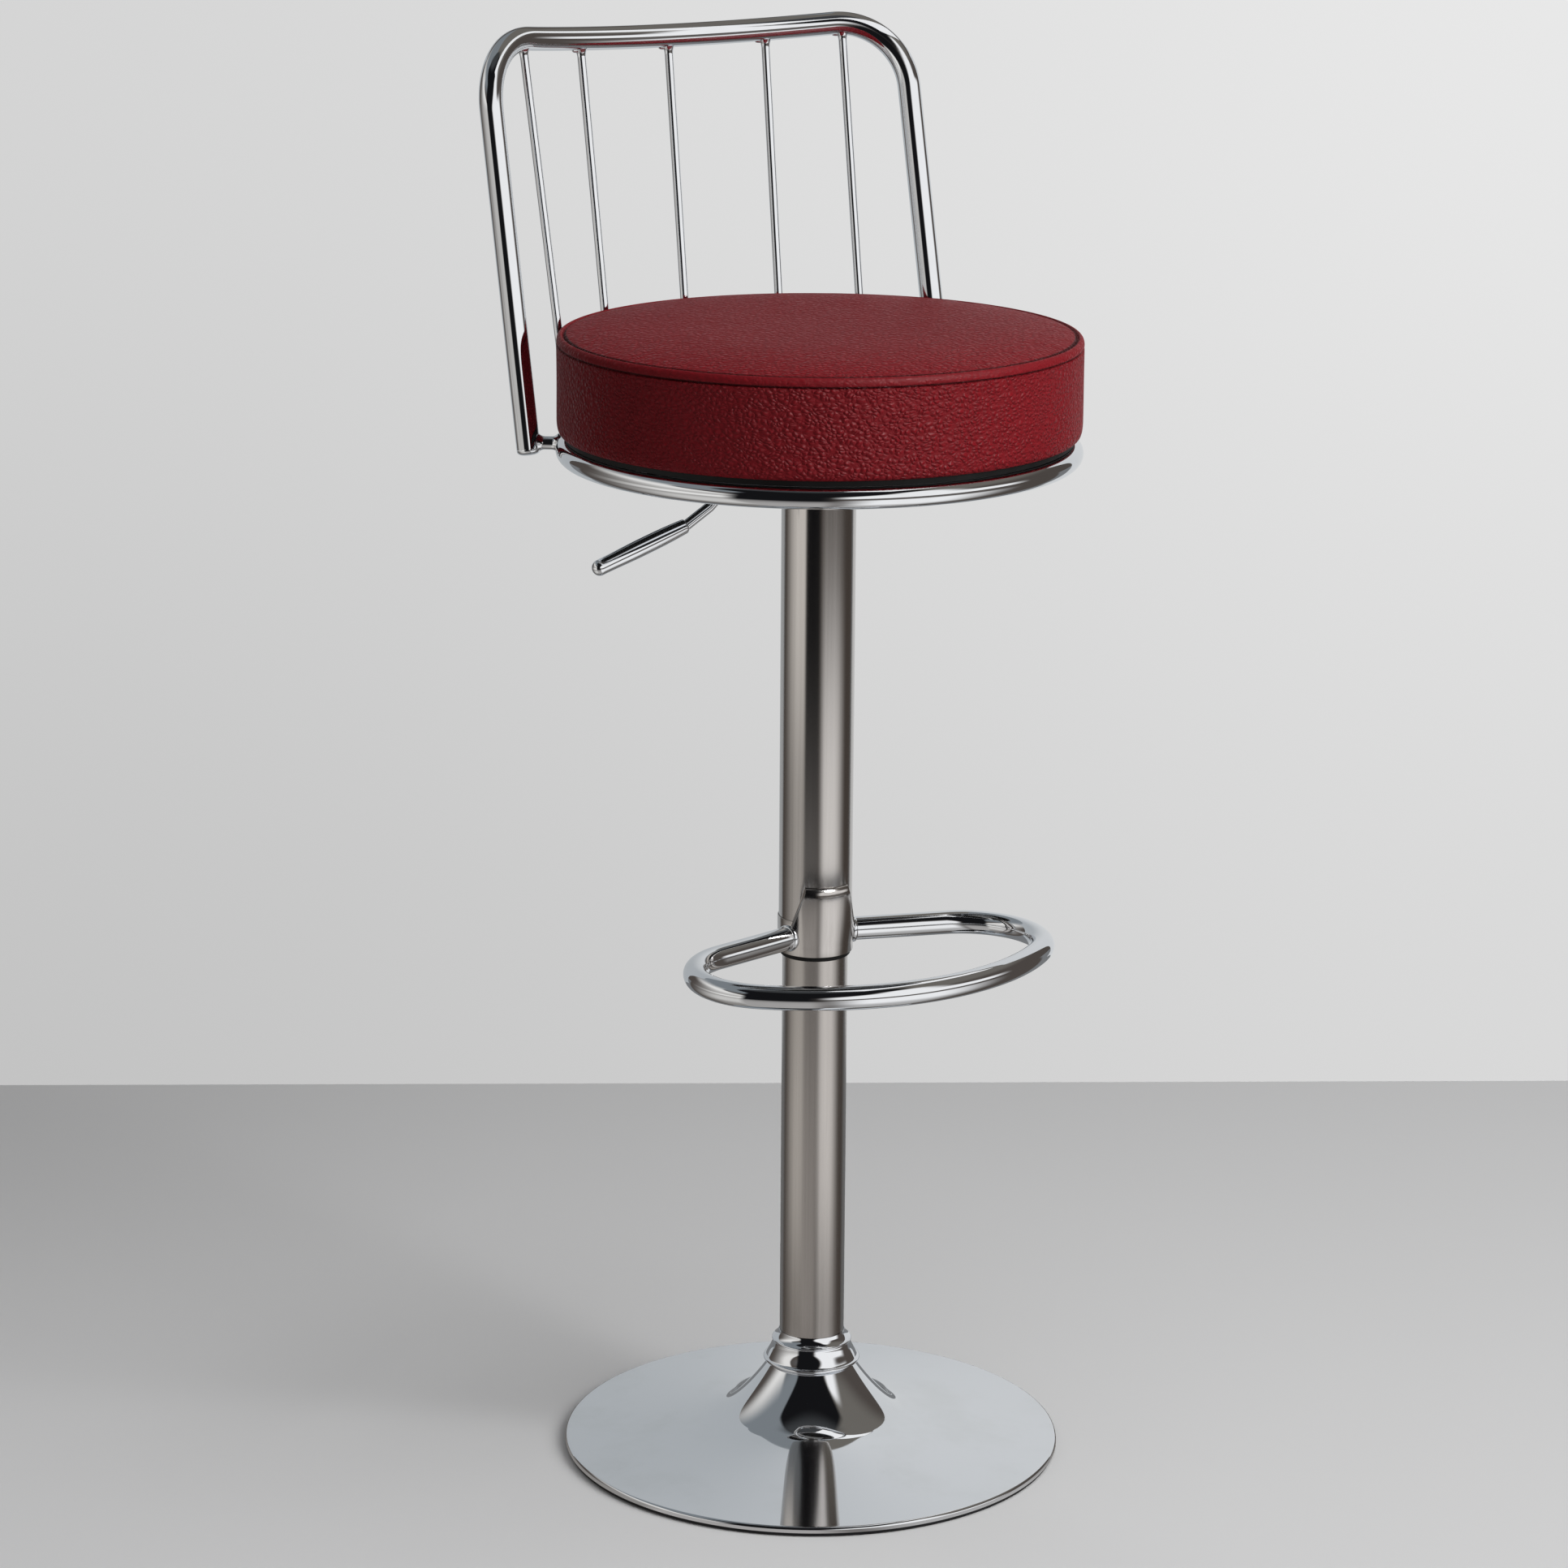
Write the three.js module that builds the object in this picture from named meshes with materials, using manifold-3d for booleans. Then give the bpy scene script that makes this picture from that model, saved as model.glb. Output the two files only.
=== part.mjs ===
// Gas-lift counter stool: ring seat frame, low backrest of thin rods, release lever, footrest loop
// on the outer tube and a weighted trumpet base. Millimetres, +Z up, the front is towards -Y,
// and the origin is on the column's axis at floor level.
import * as THREE from 'three';
import { mergeVertices } from 'three/addons/utils/BufferGeometryUtils.js';
import Module from 'manifold-3d';

const wasm = await Module();
wasm.setup();

// Fits and facets used by every piece
const gap = 0.3; // between pieces that touch
const overrun = 4; // how far a cutter runs past what it cuts
const wideSides = 48;
const cushionSides = 48;
const columnSides = 36;
const smallSides = 16;
const pipeSides = 10;
const boreSides = 6;
const bendSteps = 6;

// Base
const baseRadius = 192.5;
const rimTop = 8;
const rimFoot = 1.4;
const rimRounding = 2.4;
const shellWall = 1.2;
const neckRadius = 33.5;
const neckTop = 66.8;
const flareRadius = 45.5; // upper handle of the trumpet curve
const flareHeight = 48.3;
const throatRadius = 63; // lower handle of the trumpet curve
const throatHeight = 29.6;
const dishRadius = 72; // where the trumpet runs out into the dished disc
const dishHeight = 26.5;
const dishInnerRadius = 97; // handles of the disc's curve
const dishInnerHeight = 17.9;
const dishOuterRadius = 150;
const dishOuterHeight = 10.1;
const flareSteps = 6;
const dishSteps = 4;
const rubberWidth = 7;
const weightFoot = 1.5;
const weightThickness = 5;
const weightWeb = 2.5;
const hubRadius = 38;
const hubFlare = 20; // foot of the hub, outside its radius
const hubFlareRise = 9;
const hubTop = 44;

// Column and its collar
const columnRadius = 25;
const columnWall = 2;
const columnTop = 505;
const collarTop = 93.2;
const collarEdge = 0.6;
const collarLipRadius = 31;
const collarLipHeight = 86.5;
const collarLipThickness = 2;
const collarWaistRadius = 30.2;
const collarSkirtRadius = 35.6;
const beadRadius = 37.5;
const beadHeight = 69.8;
const beadThickness = 2.2;
const guideLength = 80;
const guideFlange = 3;

// Gas spring inside the column
const liftTravel = 210;
const footPlateHeight = 18;
const footPlateThickness = 4;
const bearingRadius = 14;
const bearingThickness = 4;
const rodRadius = 5;
const stemRadius = 4;
const grooveRadius = 3;
const stemFoot = 10;
const clipRadius = 7.5;
const clipThickness = 1.4;
const clipMouth = 5;
const cylinderRadius = 14;
const cylinderWall = 1.8;
const cylinderCap = 10;
const cylinderOverlap = 85; // how much of the cylinder stays in the column when raised
const taperLength = 37;
const taperDrop = 1.85;
const pistonThickness = 12;
const pistonRise = 25; // piston above the cylinder's lower cap when raised
const pinRadius = 4;
const pinLength = 20.7;
const pinProud = 6.7;
const pinDome = 0.8;
const pinTravel = 4.8;

// Seat frame
const ringHeight = 790.5;
const ringRadius = 188.5;
const ringTube = 8;
const ringWall = 1.5;
const ventRadius = 2;
const barOffset = 48;
const barWidth = 30;
const barThickness = 6;

// Lift mechanism under the seat
const plateLength = 176;
const plateWidth = 136;
const plateThickness = 3;
const boltSpacingX = 136;
const boltRadius = 4;
const boltHole = 4.4;
const boltHeadRadius = 7.5;
const boltHeadHeight = 5.5;
const boltLength = 20;
const housingDepth = 29.5;
const housingWidth = 76;
const housingRear = 62; // towards -X, where the lever leaves
const housingFront = 45;
const housingSheet = 3;
const wallSheet = 2.5;
const socketWall = 4;
const socketBelow = 11;
const socketLength = 21.5;
const flangeRadius = 40;
const flangeThickness = 3;
const flangeBoltRadius = 34;
const screwRadius = 2.5;
const screwHeadRadius = 4.6;
const screwHeadHeight = 3;
const screwLength = 9;
const flangeScrewCount = 4;

// Release lever
const leverDrop = 6.2; // rod's centre below the mechanism plate
const leverRodRadius = 4;
const leverPivot = 48;
const leverHubRadius = 5.5;
const leverInnerEnd = 4;
const leverBendStart = 63;
const leverKneeReach = 93;
const leverKneeDrop = 28;
const leverGripReach = 113;
const leverGripDrop = 40.3;
const leverTipReach = 190;
const leverTipDrop = 66.6;
const leverBend = 14;
const gripRadius = 6.8;
const gripTipRadius = 5.6;
const gripTip = 5;
const pivotRadius = 2.5;
const pivotHeadRadius = 4.2;
const pivotHead = 1.6;

// Outer tube and footrest
const outerTubeRadius = 28;
const outerTubeWall = 1.5;
const footrestHeight = 416.3;
const footrestTube = 9.5;
const footrestWall = 1.5;
const footrestReach = 173; // axis to the front bar's centre
const footrestFrontRadius = 187;
const footrestCornerRadius = 58.6;
const footrestArmAngle = THREE.MathUtils.degToRad(74.5); // each arm from the front
const footrestFrontSteps = 10;
const sleeveWall = 0.6;
const sleeveBelow = 13.3;
const sleeveAbove = 13.7;
const sleeveRounding = 0.4;
const tongueHeight = 41.6; // above the footrest's centre
const tongueRadius = 31.2;
const tongueBevel = 2.4;
const tongueTopWidth = 35;
const tongueFootWidth = 55;
const bushLength = 40;
const bushFlange = 3.5;
const bushFlangeRadius = 26.8;

// Backrest
const backTube = 9;
const backWall = 1.2;
const backTilt = THREE.MathUtils.degToRad(13.2);
const backHeight = 302.8; // ring plane to the top bar, along the tilt
const legStandoff = 30.3; // leg's centre outside the ring's centre line
const backArcShare = 1.627; // the back's arc to the legs' own distance from the axis
const legAngle = THREE.MathUtils.degToRad(56); // each leg from straight back
const legBelow = 5.5;
const backBend = 55;
const backBarSteps = 10;
const plugCap = 4;
const plugSpigot = 12;
const plugPlay = 1.5;
const stubRadius = 5;
const rodWire = 3.25;
const rodBelow = 3;
const rodFootAngles = [-40.5, -22, 0, 22, 40.5].map(THREE.MathUtils.degToRad);
const rodTopAngles = [-23, -13.1, 0, 13.1, 23].map(THREE.MathUtils.degToRad);

// Seat
const boardInset = 0.5; // board's edge inside the ring's centre line
const boardThickness = 12;
const boardShow = 3.2; // board left bare under the cushion
const teeBarrelRadius = 5.3;
const teeFlangeRadius = 11;
const teeFlange = 1.2;
const cushionProud = 8; // cushion's widest outside the ring's centre line
const cushionDepth = 75.4;
const coverWall = 1.5;
// Cushion outline: share of its radius, share of its depth
const coverSideShares = [
  [0.976, 0], [0.988, 0.04], [0.996, 0.18], [1, 0.45], [0.998, 0.7], [0.993, 0.87],
  [0.987, 0.9], [0.989, 0.93], [0.984, 0.97], [0.972, 1],
];
const coverCrownShares = [[0.966, 0.99], [0.955, 1.004], [0.85, 1.022], [0.55, 1.042], [0, 1.053]];
const liningSideShares = [[0.99, 0.18], [0.994, 0.45], [0.98, 0.88]];
const liningCrownShares = [[0.955, 0.96], [0.55, 1], [0, 1.01]];

// Widths and heights that follow from the sizes above
const boardRadius = ringRadius - boardInset;
const cushionRadius = ringRadius + cushionProud;
const legRadius = ringRadius + legStandoff;
const backArcRadius = legRadius * backArcShare;
const barTop = ringHeight + ringTube;
const barFoot = barTop - barThickness;
const plateTop = barFoot - gap;
const plateFoot = plateTop - plateThickness;
const webFoot = plateFoot - housingDepth;
const webTop = webFoot + housingSheet;
const flangeTop = webFoot - gap;
const flangeFoot = flangeTop - flangeThickness;
const tubeTop = flangeFoot - gap;
const tubeFoot = footrestHeight - sleeveBelow;
const leverHeight = plateFoot - leverDrop;
const pinTop = leverHeight - leverRodRadius - gap;
const coneTop = pinTop - pinProud;
const coneFoot = coneTop - taperLength;
const cylinderFoot = columnTop - cylinderOverlap;
const boardFoot = barTop + gap;
const boardTop = boardFoot + boardThickness;
const cushionFoot = boardFoot + boardShow;
const foamFoot = boardTop + teeFlange + gap + gap;

// Finishes
const finish = (color, roughness, metalness) =>
  new THREE.MeshStandardMaterial({ color, roughness, metalness });
const chrome = () => finish(0xd9dbde, 0.06, 1);
const satinSteel = () => finish(0x96918c, 0.3, 1);
const zincSteel = () => finish(0xa9abad, 0.45, 1);
const blackRubber = () => finish(0x111112, 0.8, 0);
const blackNylon = () => finish(0x17171a, 0.5, 0);
const castIron = () => finish(0x2c2d2f, 0.7, 0.6);
const blackBoard = () => finish(0x121213, 0.75, 0);
const paleFoam = () => finish(0xe2d7ae, 0.95, 0);
const redLeather = () => finish(0x7b1420, 0.45, 0);

// A geometry as a solid that can be joined and cut
function toSolid(geometry) {
  const bare = geometry.clone();
  bare.deleteAttribute('normal');
  bare.deleteAttribute('uv');
  const merged = mergeVertices(bare);
  const corners = merged.index.array;
  const kept = [];
  for (let i = 0; i < corners.length; i += 3) {
    const [a, b, c] = corners.slice(i, i + 3);
    if (a !== b && b !== c && c !== a) kept.push(a, b, c);
  }
  const vertProperties = new Float32Array(merged.attributes.position.array);
  const triVerts = new Uint32Array(kept);
  return new wasm.Manifold(new wasm.Mesh({ numProp: 3, vertProperties, triVerts }));
}

function toGeometry(solid) {
  const mesh = solid.getMesh();
  const geometry = new THREE.BufferGeometry();
  geometry.setAttribute('position', new THREE.BufferAttribute(mesh.vertProperties, 3));
  geometry.setIndex(new THREE.BufferAttribute(mesh.triVerts, 1));
  geometry.computeVertexNormals();
  return geometry;
}

// A closed profile of [radius, height] points turned about the column's axis
function turned(profile, sides) {
  const area = profile.reduce((sum, [r, z], i) => {
    const [nextR, nextZ] = profile[(i + 1) % profile.length];
    return sum + r * nextZ - nextR * z;
  }, 0);
  const wound = area < 0 ? [...profile].reverse() : profile;
  const onAxis = wound.findIndex(([r], i) => r === 0 && wound[(i + wound.length - 1) % wound.length][0] === 0);
  const start = Math.max(onAxis, 0);
  const points = wound.map((point, i) => wound[(i + start) % wound.length]);
  if (onAxis < 0) points.push(points[0]);
  const line = points.map(([r, z]) => new THREE.Vector2(r, z));
  return toSolid(new THREE.LatheGeometry(line, sides).rotateX(Math.PI / 2));
}

// A plain ring between two radii and two heights
const ringOf = (inner, outer, low, high, sides) =>
  turned([[inner, low], [outer, low], [outer, high], [inner, high]], sides);

// A cylinder from one point to another
function rodBetween(from, to, radius, sides) {
  const span = new THREE.Vector3().subVectors(to, from);
  const geometry = new THREE.CylinderGeometry(radius, radius, span.length(), sides);
  geometry.translate(0, span.length() / 2, 0);
  const turn = new THREE.Quaternion().setFromUnitVectors(new THREE.Vector3(0, 1, 0), span.normalize());
  geometry.applyQuaternion(turn).translate(from.x, from.y, from.z);
  return toSolid(geometry);
}

function block(lengthX, lengthY, lengthZ, x, y, z) {
  return toSolid(new THREE.BoxGeometry(lengthX, lengthY, lengthZ).translate(x, y, z));
}

// A route of straight runs and bends through points that are chosen one by one
class RoutedPath extends THREE.Curve {
  constructor(points) {
    super();
    this.points = points;
  }

  getPoint(t, target = new THREE.Vector3()) {
    const place = t * (this.points.length - 1);
    const index = Math.min(Math.floor(place), this.points.length - 2);
    return target.lerpVectors(this.points[index], this.points[index + 1], place - index);
  }

  getUtoTmapping(u) {
    return u;
  }
}

function polygon(radius, sides) {
  return Array.from({ length: sides }, (_, i) => {
    const angle = (2 * Math.PI * (i + 0.5)) / sides;
    return new THREE.Vector2(radius * Math.cos(angle), radius * Math.sin(angle));
  });
}

// A round bar along a route, or a tube where it has a bore
function pipe(points, radius, bore = 0) {
  const section = new THREE.Shape(polygon(radius, pipeSides));
  if (bore > 0) section.holes.push(new THREE.Path(polygon(bore, boreSides)));
  const path = new RoutedPath(points);
  return toSolid(new THREE.ExtrudeGeometry(section, { steps: points.length - 1, extrudePath: path }));
}

// Points on an arc about a centre, both ends included
function arcPoints(centreX, centreY, radius, from, to, steps) {
  return Array.from({ length: steps + 1 }, (_, i) => {
    const angle = from + ((to - from) * i) / steps;
    return [centreX + radius * Math.cos(angle), centreY + radius * Math.sin(angle)];
  });
}

// Corners of a flat route rounded with the same bend radius
function rounded(corners, radius) {
  const points = [corners[0]];
  for (let i = 1; i < corners.length - 1; i += 1) {
    const [here, before, after] = [corners[i], corners[i - 1], corners[i + 1]];
    const back = before.clone().sub(here).normalize();
    const ahead = after.clone().sub(here).normalize();
    const half = back.angleTo(ahead) / 2;
    const start = here.clone().addScaledVector(back, radius / Math.tan(half));
    const inward = back.clone().add(ahead).normalize();
    const centre = here.clone().addScaledVector(inward, radius / Math.sin(half));
    const spoke = start.clone().sub(centre);
    const axis = new THREE.Vector3().crossVectors(back, ahead).normalize();
    for (let step = 0; step <= bendSteps; step += 1) {
      const turn = ((2 * half - Math.PI) * step) / bendSteps;
      points.push(spoke.clone().applyAxisAngle(axis, turn).add(centre));
    }
  }
  points.push(corners.at(-1));
  return points;
}

// Trumpet profile from the rim's top to the neck, moved inwards by an offset
function trumpet(offset) {
  const along = (curve, steps) => Array.from({ length: steps + 1 }, (_, i) => {
    const t = i / steps;
    const point = curve.getPoint(t);
    const tangent = curve.getTangent(t);
    return [point.x - offset * tangent.y, point.y + offset * tangent.x];
  });
  const dish = new THREE.CubicBezierCurve(
    new THREE.Vector2(baseRadius - rimRounding, rimTop),
    new THREE.Vector2(dishOuterRadius, dishOuterHeight),
    new THREE.Vector2(dishInnerRadius, dishInnerHeight),
    new THREE.Vector2(dishRadius, dishHeight),
  );
  const flare = new THREE.CubicBezierCurve(
    new THREE.Vector2(dishRadius, dishHeight),
    new THREE.Vector2(throatRadius, throatHeight),
    new THREE.Vector2(flareRadius, flareHeight),
    new THREE.Vector2(neckRadius, neckTop),
  );
  return [...along(dish, dishSteps), ...along(flare, flareSteps).slice(1)];
}

function baseShell() {
  const outside = [[baseRadius, rimFoot], [baseRadius, rimTop - rimRounding], ...trumpet(0)];
  const insideRim = baseRadius - shellWall;
  const inside = [[insideRim, rimFoot], [insideRim, rimTop - rimRounding], ...trumpet(shellWall)];
  inside[inside.length - 1] = [neckRadius - shellWall, neckTop];
  return turned([...outside, ...inside.reverse()], wideSides);
}

const rubberOuter = baseRadius - shellWall - gap;
const rubberInner = rubberOuter - rubberWidth;

function floorRing() {
  const crown = rimTop - rimRounding;
  return ringOf(rubberInner, rubberOuter, 0, crown, wideSides);
}

function baseWeight() {
  const bore = columnRadius + gap;
  const edge = rubberInner - gap;
  const deck = weightFoot + weightThickness;
  const hubFloor = weightFoot + weightWeb;
  return turned([
    [0, weightFoot], [edge, weightFoot], [edge, deck], [hubRadius + hubFlare, deck],
    [hubRadius, deck + hubFlareRise], [hubRadius, hubTop], [bore, hubTop], [bore, hubFloor], [0, hubFloor],
  ], wideSides);
}

const columnFoot = weightFoot + weightWeb + gap;
const columnBore = columnRadius - columnWall;

const columnTube = () => ringOf(columnBore, columnRadius, columnFoot, columnTop, columnSides);

function columnCollar() {
  const bore = columnRadius + gap;
  const foot = neckTop + gap;
  const beadLow = beadHeight - beadThickness / 2;
  const beadHigh = beadHeight + beadThickness / 2;
  const lipLow = collarLipHeight - collarLipThickness;
  return turned([
    [bore, foot], [collarSkirtRadius, foot], [beadRadius, beadLow], [beadRadius, beadHigh],
    [collarSkirtRadius, beadHigh + collarEdge], [collarWaistRadius, lipLow], [collarLipRadius, lipLow],
    [collarLipRadius, collarLipHeight - collarEdge], [collarLipRadius - collarEdge, collarLipHeight],
    [bore + collarEdge, collarTop], [bore, collarTop],
  ], columnSides);
}

function columnFootPlate() {
  const high = footPlateHeight + footPlateThickness;
  return ringOf(stemRadius + gap, columnBore - gap, footPlateHeight, high, columnSides);
}

function guideBush() {
  const bore = cylinderRadius + gap;
  const seat = columnTop + gap;
  return turned([
    [bore, columnTop - guideLength], [columnBore - gap, columnTop - guideLength], [columnBore - gap, seat],
    [columnRadius, seat], [columnRadius, seat + guideFlange], [bore, seat + guideFlange],
  ], columnSides);
}

const bearingFoot = footPlateHeight + footPlateThickness + gap;
const rodShoulder = bearingFoot + bearingThickness + gap;
const clipFoot = footPlateHeight - gap - clipThickness;
const pistonFoot = cylinderFoot + cylinderCap + pistonRise;

const thrustBearing = () =>
  ringOf(stemRadius + gap, bearingRadius, bearingFoot, bearingFoot + bearingThickness, smallSides);

function pistonRod() {
  const grooveLow = clipFoot - gap;
  const grooveHigh = clipFoot + clipThickness + gap;
  const top = pistonFoot + pistonThickness;
  return turned([
    [0, stemFoot], [stemRadius, stemFoot], [stemRadius, grooveLow], [grooveRadius, grooveLow],
    [grooveRadius, grooveHigh], [stemRadius, grooveHigh], [stemRadius, rodShoulder],
    [rodRadius, rodShoulder], [rodRadius, top], [0, top],
  ], smallSides);
}

function piston() {
  const bore = cylinderRadius - cylinderWall;
  return ringOf(rodRadius + gap, bore - gap, pistonFoot, pistonFoot + pistonThickness, smallSides);
}

function retainingClip() {
  const ring = ringOf(grooveRadius + gap, clipRadius, clipFoot, clipFoot + clipThickness, smallSides);
  const middle = clipFoot + clipThickness / 2;
  const mouth = block(clipMouth, clipRadius + overrun, clipThickness + overrun, 0, -(clipRadius + overrun) / 2, middle);
  return ring.subtract(mouth);
}

function gasCylinder() {
  const bore = cylinderRadius - cylinderWall;
  const capTop = cylinderFoot + cylinderCap;
  const shoulder = coneFoot - cylinderCap;
  const pinBore = pinRadius + gap;
  const pinFloor = pinTop - pinLength - pinTravel - gap;
  return turned([
    [rodRadius + gap, cylinderFoot], [cylinderRadius, cylinderFoot], [cylinderRadius, coneFoot],
    [cylinderRadius - taperDrop, coneTop], [pinBore, coneTop], [pinBore, pinFloor], [0, pinFloor],
    [0, shoulder], [bore, shoulder], [bore, capTop], [rodRadius + gap, capTop],
  ], smallSides * 2);
}

function releasePin() {
  const foot = pinTop - pinLength;
  return turned([
    [0, foot], [pinRadius, foot], [pinRadius, pinTop - pinDome], [pinRadius / 2, pinTop - pinDome / 4], [0, pinTop],
  ], smallSides);
}

// Radius of the cylinder's cone at a height, which the socket follows
const coneRadius = (height) => cylinderRadius - (taperDrop * (height - coneFoot)) / taperLength;
const socketOuter = cylinderRadius + socketWall + gap;

function taperSocket() {
  const foot = webFoot - socketBelow;
  const top = foot + socketLength;
  return turned([
    [coneRadius(foot) + gap, foot], [socketOuter, foot], [socketOuter, top], [coneRadius(top) + gap, top],
  ], smallSides * 2);
}

const boltPlaces = [-1, 1].flatMap((sideX) =>
  [-1, 1].map((sideY) => [(sideX * boltSpacingX) / 2, sideY * barOffset]));
const flangeScrewPlaces = Array.from({ length: flangeScrewCount }, (_, i) => {
  const angle = (2 * Math.PI * (i + 0.5)) / flangeScrewCount;
  return [flangeBoltRadius * Math.cos(angle), flangeBoltRadius * Math.sin(angle)];
});

const upright = (x, y, low, high, radius, sides = smallSides) =>
  rodBetween(new THREE.Vector3(x, y, low), new THREE.Vector3(x, y, high), radius, sides);

function withHoles(solid, places, radius, low, high) {
  return places.reduce(
    (rest, [x, y]) => rest.subtract(upright(x, y, low - overrun, high + overrun, radius, pipeSides)),
    solid,
  );
}

function mechanismPlate() {
  const sheet = block(plateLength, plateWidth, plateThickness, 0, 0, (plateFoot + plateTop) / 2);
  return withHoles(sheet, boltPlaces, boltHole, plateFoot, plateTop);
}

const wallCentre = (housingWidth - wallSheet) / 2;

function mechanismHousing() {
  const length = housingRear + housingFront;
  const middle = (housingFront - housingRear) / 2;
  const wallTop = plateFoot - gap;
  const web = block(length, housingWidth, housingSheet, middle, 0, (webFoot + webTop) / 2);
  const wallAt = (side) =>
    block(length, wallSheet, wallTop - webFoot, middle, side * wallCentre, (webFoot + wallTop) / 2);
  const pinFrom = new THREE.Vector3(-leverPivot, -housingWidth, leverHeight);
  const pinTo = new THREE.Vector3(-leverPivot, housingWidth, leverHeight);
  const channel = web.add(wallAt(-1)).add(wallAt(1))
    .subtract(upright(0, 0, webFoot - overrun, webTop + overrun, socketOuter + gap, smallSides * 2))
    .subtract(rodBetween(pinFrom, pinTo, pivotRadius + gap, pipeSides));
  return withHoles(channel, flangeScrewPlaces, screwRadius + gap, webFoot, webTop);
}

function tubeFlange() {
  const ring = ringOf(socketOuter + gap, flangeRadius, flangeFoot, flangeTop, columnSides);
  return withHoles(ring, flangeScrewPlaces, screwRadius + gap, flangeFoot, flangeTop);
}

// A screw or bolt with its head underneath
function fastener(x, y, headTop, headRadius, headHeight, shankRadius, length) {
  const head = upright(x, y, headTop - headHeight, headTop, headRadius, 6);
  return head.add(upright(x, y, headTop - headHeight / 2, headTop + length, shankRadius, pipeSides));
}

const flangeScrew = ([x, y]) =>
  fastener(x, y, flangeFoot - gap, screwHeadRadius, screwHeadHeight, screwRadius, screwLength);
const seatBolt = ([x, y]) =>
  fastener(x, y, plateFoot - gap, boltHeadRadius, boltHeadHeight, boltRadius, boltLength);

function teeNut([x, y]) {
  const barrel = upright(x, y, boardFoot + gap, boardTop + gap + teeFlange, teeBarrelRadius, pipeSides);
  const flange = upright(x, y, boardTop + gap, boardTop + gap + teeFlange, teeFlangeRadius, pipeSides);
  const bore = upright(x, y, boardFoot - overrun, boardTop + overrun, boltRadius + gap, pipeSides);
  return barrel.add(flange).subtract(bore);
}

function ringSolid(tube) {
  return toSolid(new THREE.TorusGeometry(ringRadius, tube, pipeSides, wideSides).translate(0, 0, ringHeight));
}

function seatRing() {
  const bore = new THREE.TorusGeometry(ringRadius, ringTube - ringWall, boreSides, wideSides);
  const hollow = ringSolid(ringTube).subtract(toSolid(bore.translate(0, 0, ringHeight)));
  const ventFrom = new THREE.Vector3(0, -ringRadius, ringHeight);
  const ventTo = new THREE.Vector3(0, -ringRadius + ringTube + overrun, ringHeight);
  return hollow.subtract(rodBetween(ventFrom, ventTo, ventRadius, boreSides));
}

function crossBar(side) {
  const middle = (barFoot + barTop) / 2;
  const bar = block(2 * ringRadius, barWidth, barThickness, 0, side * barOffset, middle);
  const inside = upright(0, 0, barFoot - overrun, barTop + overrun, ringRadius, wideSides);
  const cut = bar.intersect(inside).subtract(ringSolid(ringTube + gap));
  return withHoles(cut, boltPlaces, boltHole, barFoot, barTop);
}

// The lever's route lies in the XZ plane, reach towards -X and drop below its pivot
const leverPoint = (reach, drop) => new THREE.Vector3(-reach, 0, leverHeight - drop);
const gripSlope = (leverTipDrop - leverGripDrop) / (leverTipReach - leverGripReach);

function leverRod() {
  const insideGrip = leverTipReach - 2 * gripTip;
  const insideDrop = leverTipDrop - 2 * gripTip * gripSlope;
  const corners = [
    leverPoint(-leverInnerEnd, 0), leverPoint(leverBendStart, 0),
    leverPoint(leverKneeReach, leverKneeDrop), leverPoint(leverGripReach, leverGripDrop),
    leverPoint(insideGrip, insideDrop),
  ];
  const rod = pipe(rounded(corners, leverBend), leverRodRadius);
  const reach = wallCentre - wallSheet / 2 - gap;
  const acrossAt = (side) => new THREE.Vector3(-leverPivot, side * reach, leverHeight);
  const boreAt = (side) => new THREE.Vector3(-leverPivot, side * housingWidth, leverHeight);
  const hub = rodBetween(acrossAt(-1), acrossAt(1), leverHubRadius, smallSides);
  return rod.add(hub).subtract(rodBetween(boreAt(-1), boreAt(1), pivotRadius + gap, pipeSides));
}

function leverGrip() {
  const from = leverPoint(leverGripReach, leverGripDrop);
  const to = leverPoint(leverTipReach, leverTipDrop);
  const length = from.distanceTo(to);
  const bore = leverRodRadius + gap;
  const boreEnd = length - gripTip;
  const sleeve = turned([
    [bore, 0], [gripRadius, 0], [gripTipRadius, length - gripTip], [gripTipRadius / 2, length - gripTip / 4],
    [0, length], [0, boreEnd], [bore, boreEnd],
  ], smallSides);
  const turn = new THREE.Quaternion().setFromUnitVectors(new THREE.Vector3(0, 0, 1), to.sub(from).normalize());
  return toSolid(toGeometry(sleeve).applyQuaternion(turn).translate(from.x, from.y, from.z));
}

function leverPivotPin() {
  const wall = housingWidth / 2 + gap;
  const across = turned([
    [0, -wall - pivotHead], [pivotHeadRadius, -wall - pivotHead], [pivotHeadRadius, -wall], [pivotRadius, -wall],
    [pivotRadius, wall], [pivotHeadRadius, wall], [pivotHeadRadius, wall + pivotHead], [0, wall + pivotHead],
  ], pipeSides);
  return toSolid(toGeometry(across).rotateX(Math.PI / 2).translate(-leverPivot, 0, leverHeight));
}

const outerTube = () =>
  ringOf(outerTubeRadius - outerTubeWall, outerTubeRadius, tubeFoot, tubeTop, columnSides);

function slideBush() {
  const bore = columnRadius + gap;
  const outer = outerTubeRadius - outerTubeWall - gap;
  const seat = tubeFoot - gap;
  return turned([
    [bore, seat - bushFlange], [bushFlangeRadius, seat - bushFlange], [bushFlangeRadius, seat], [outer, seat],
    [outer, seat + bushLength], [bore, seat + bushLength],
  ], columnSides);
}

const sleeveBore = outerTubeRadius + gap;
const sleeveOuter = sleeveBore + sleeveWall;
const sleeveTop = footrestHeight + sleeveAbove;
const tongueTop = footrestHeight + tongueHeight;

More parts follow.
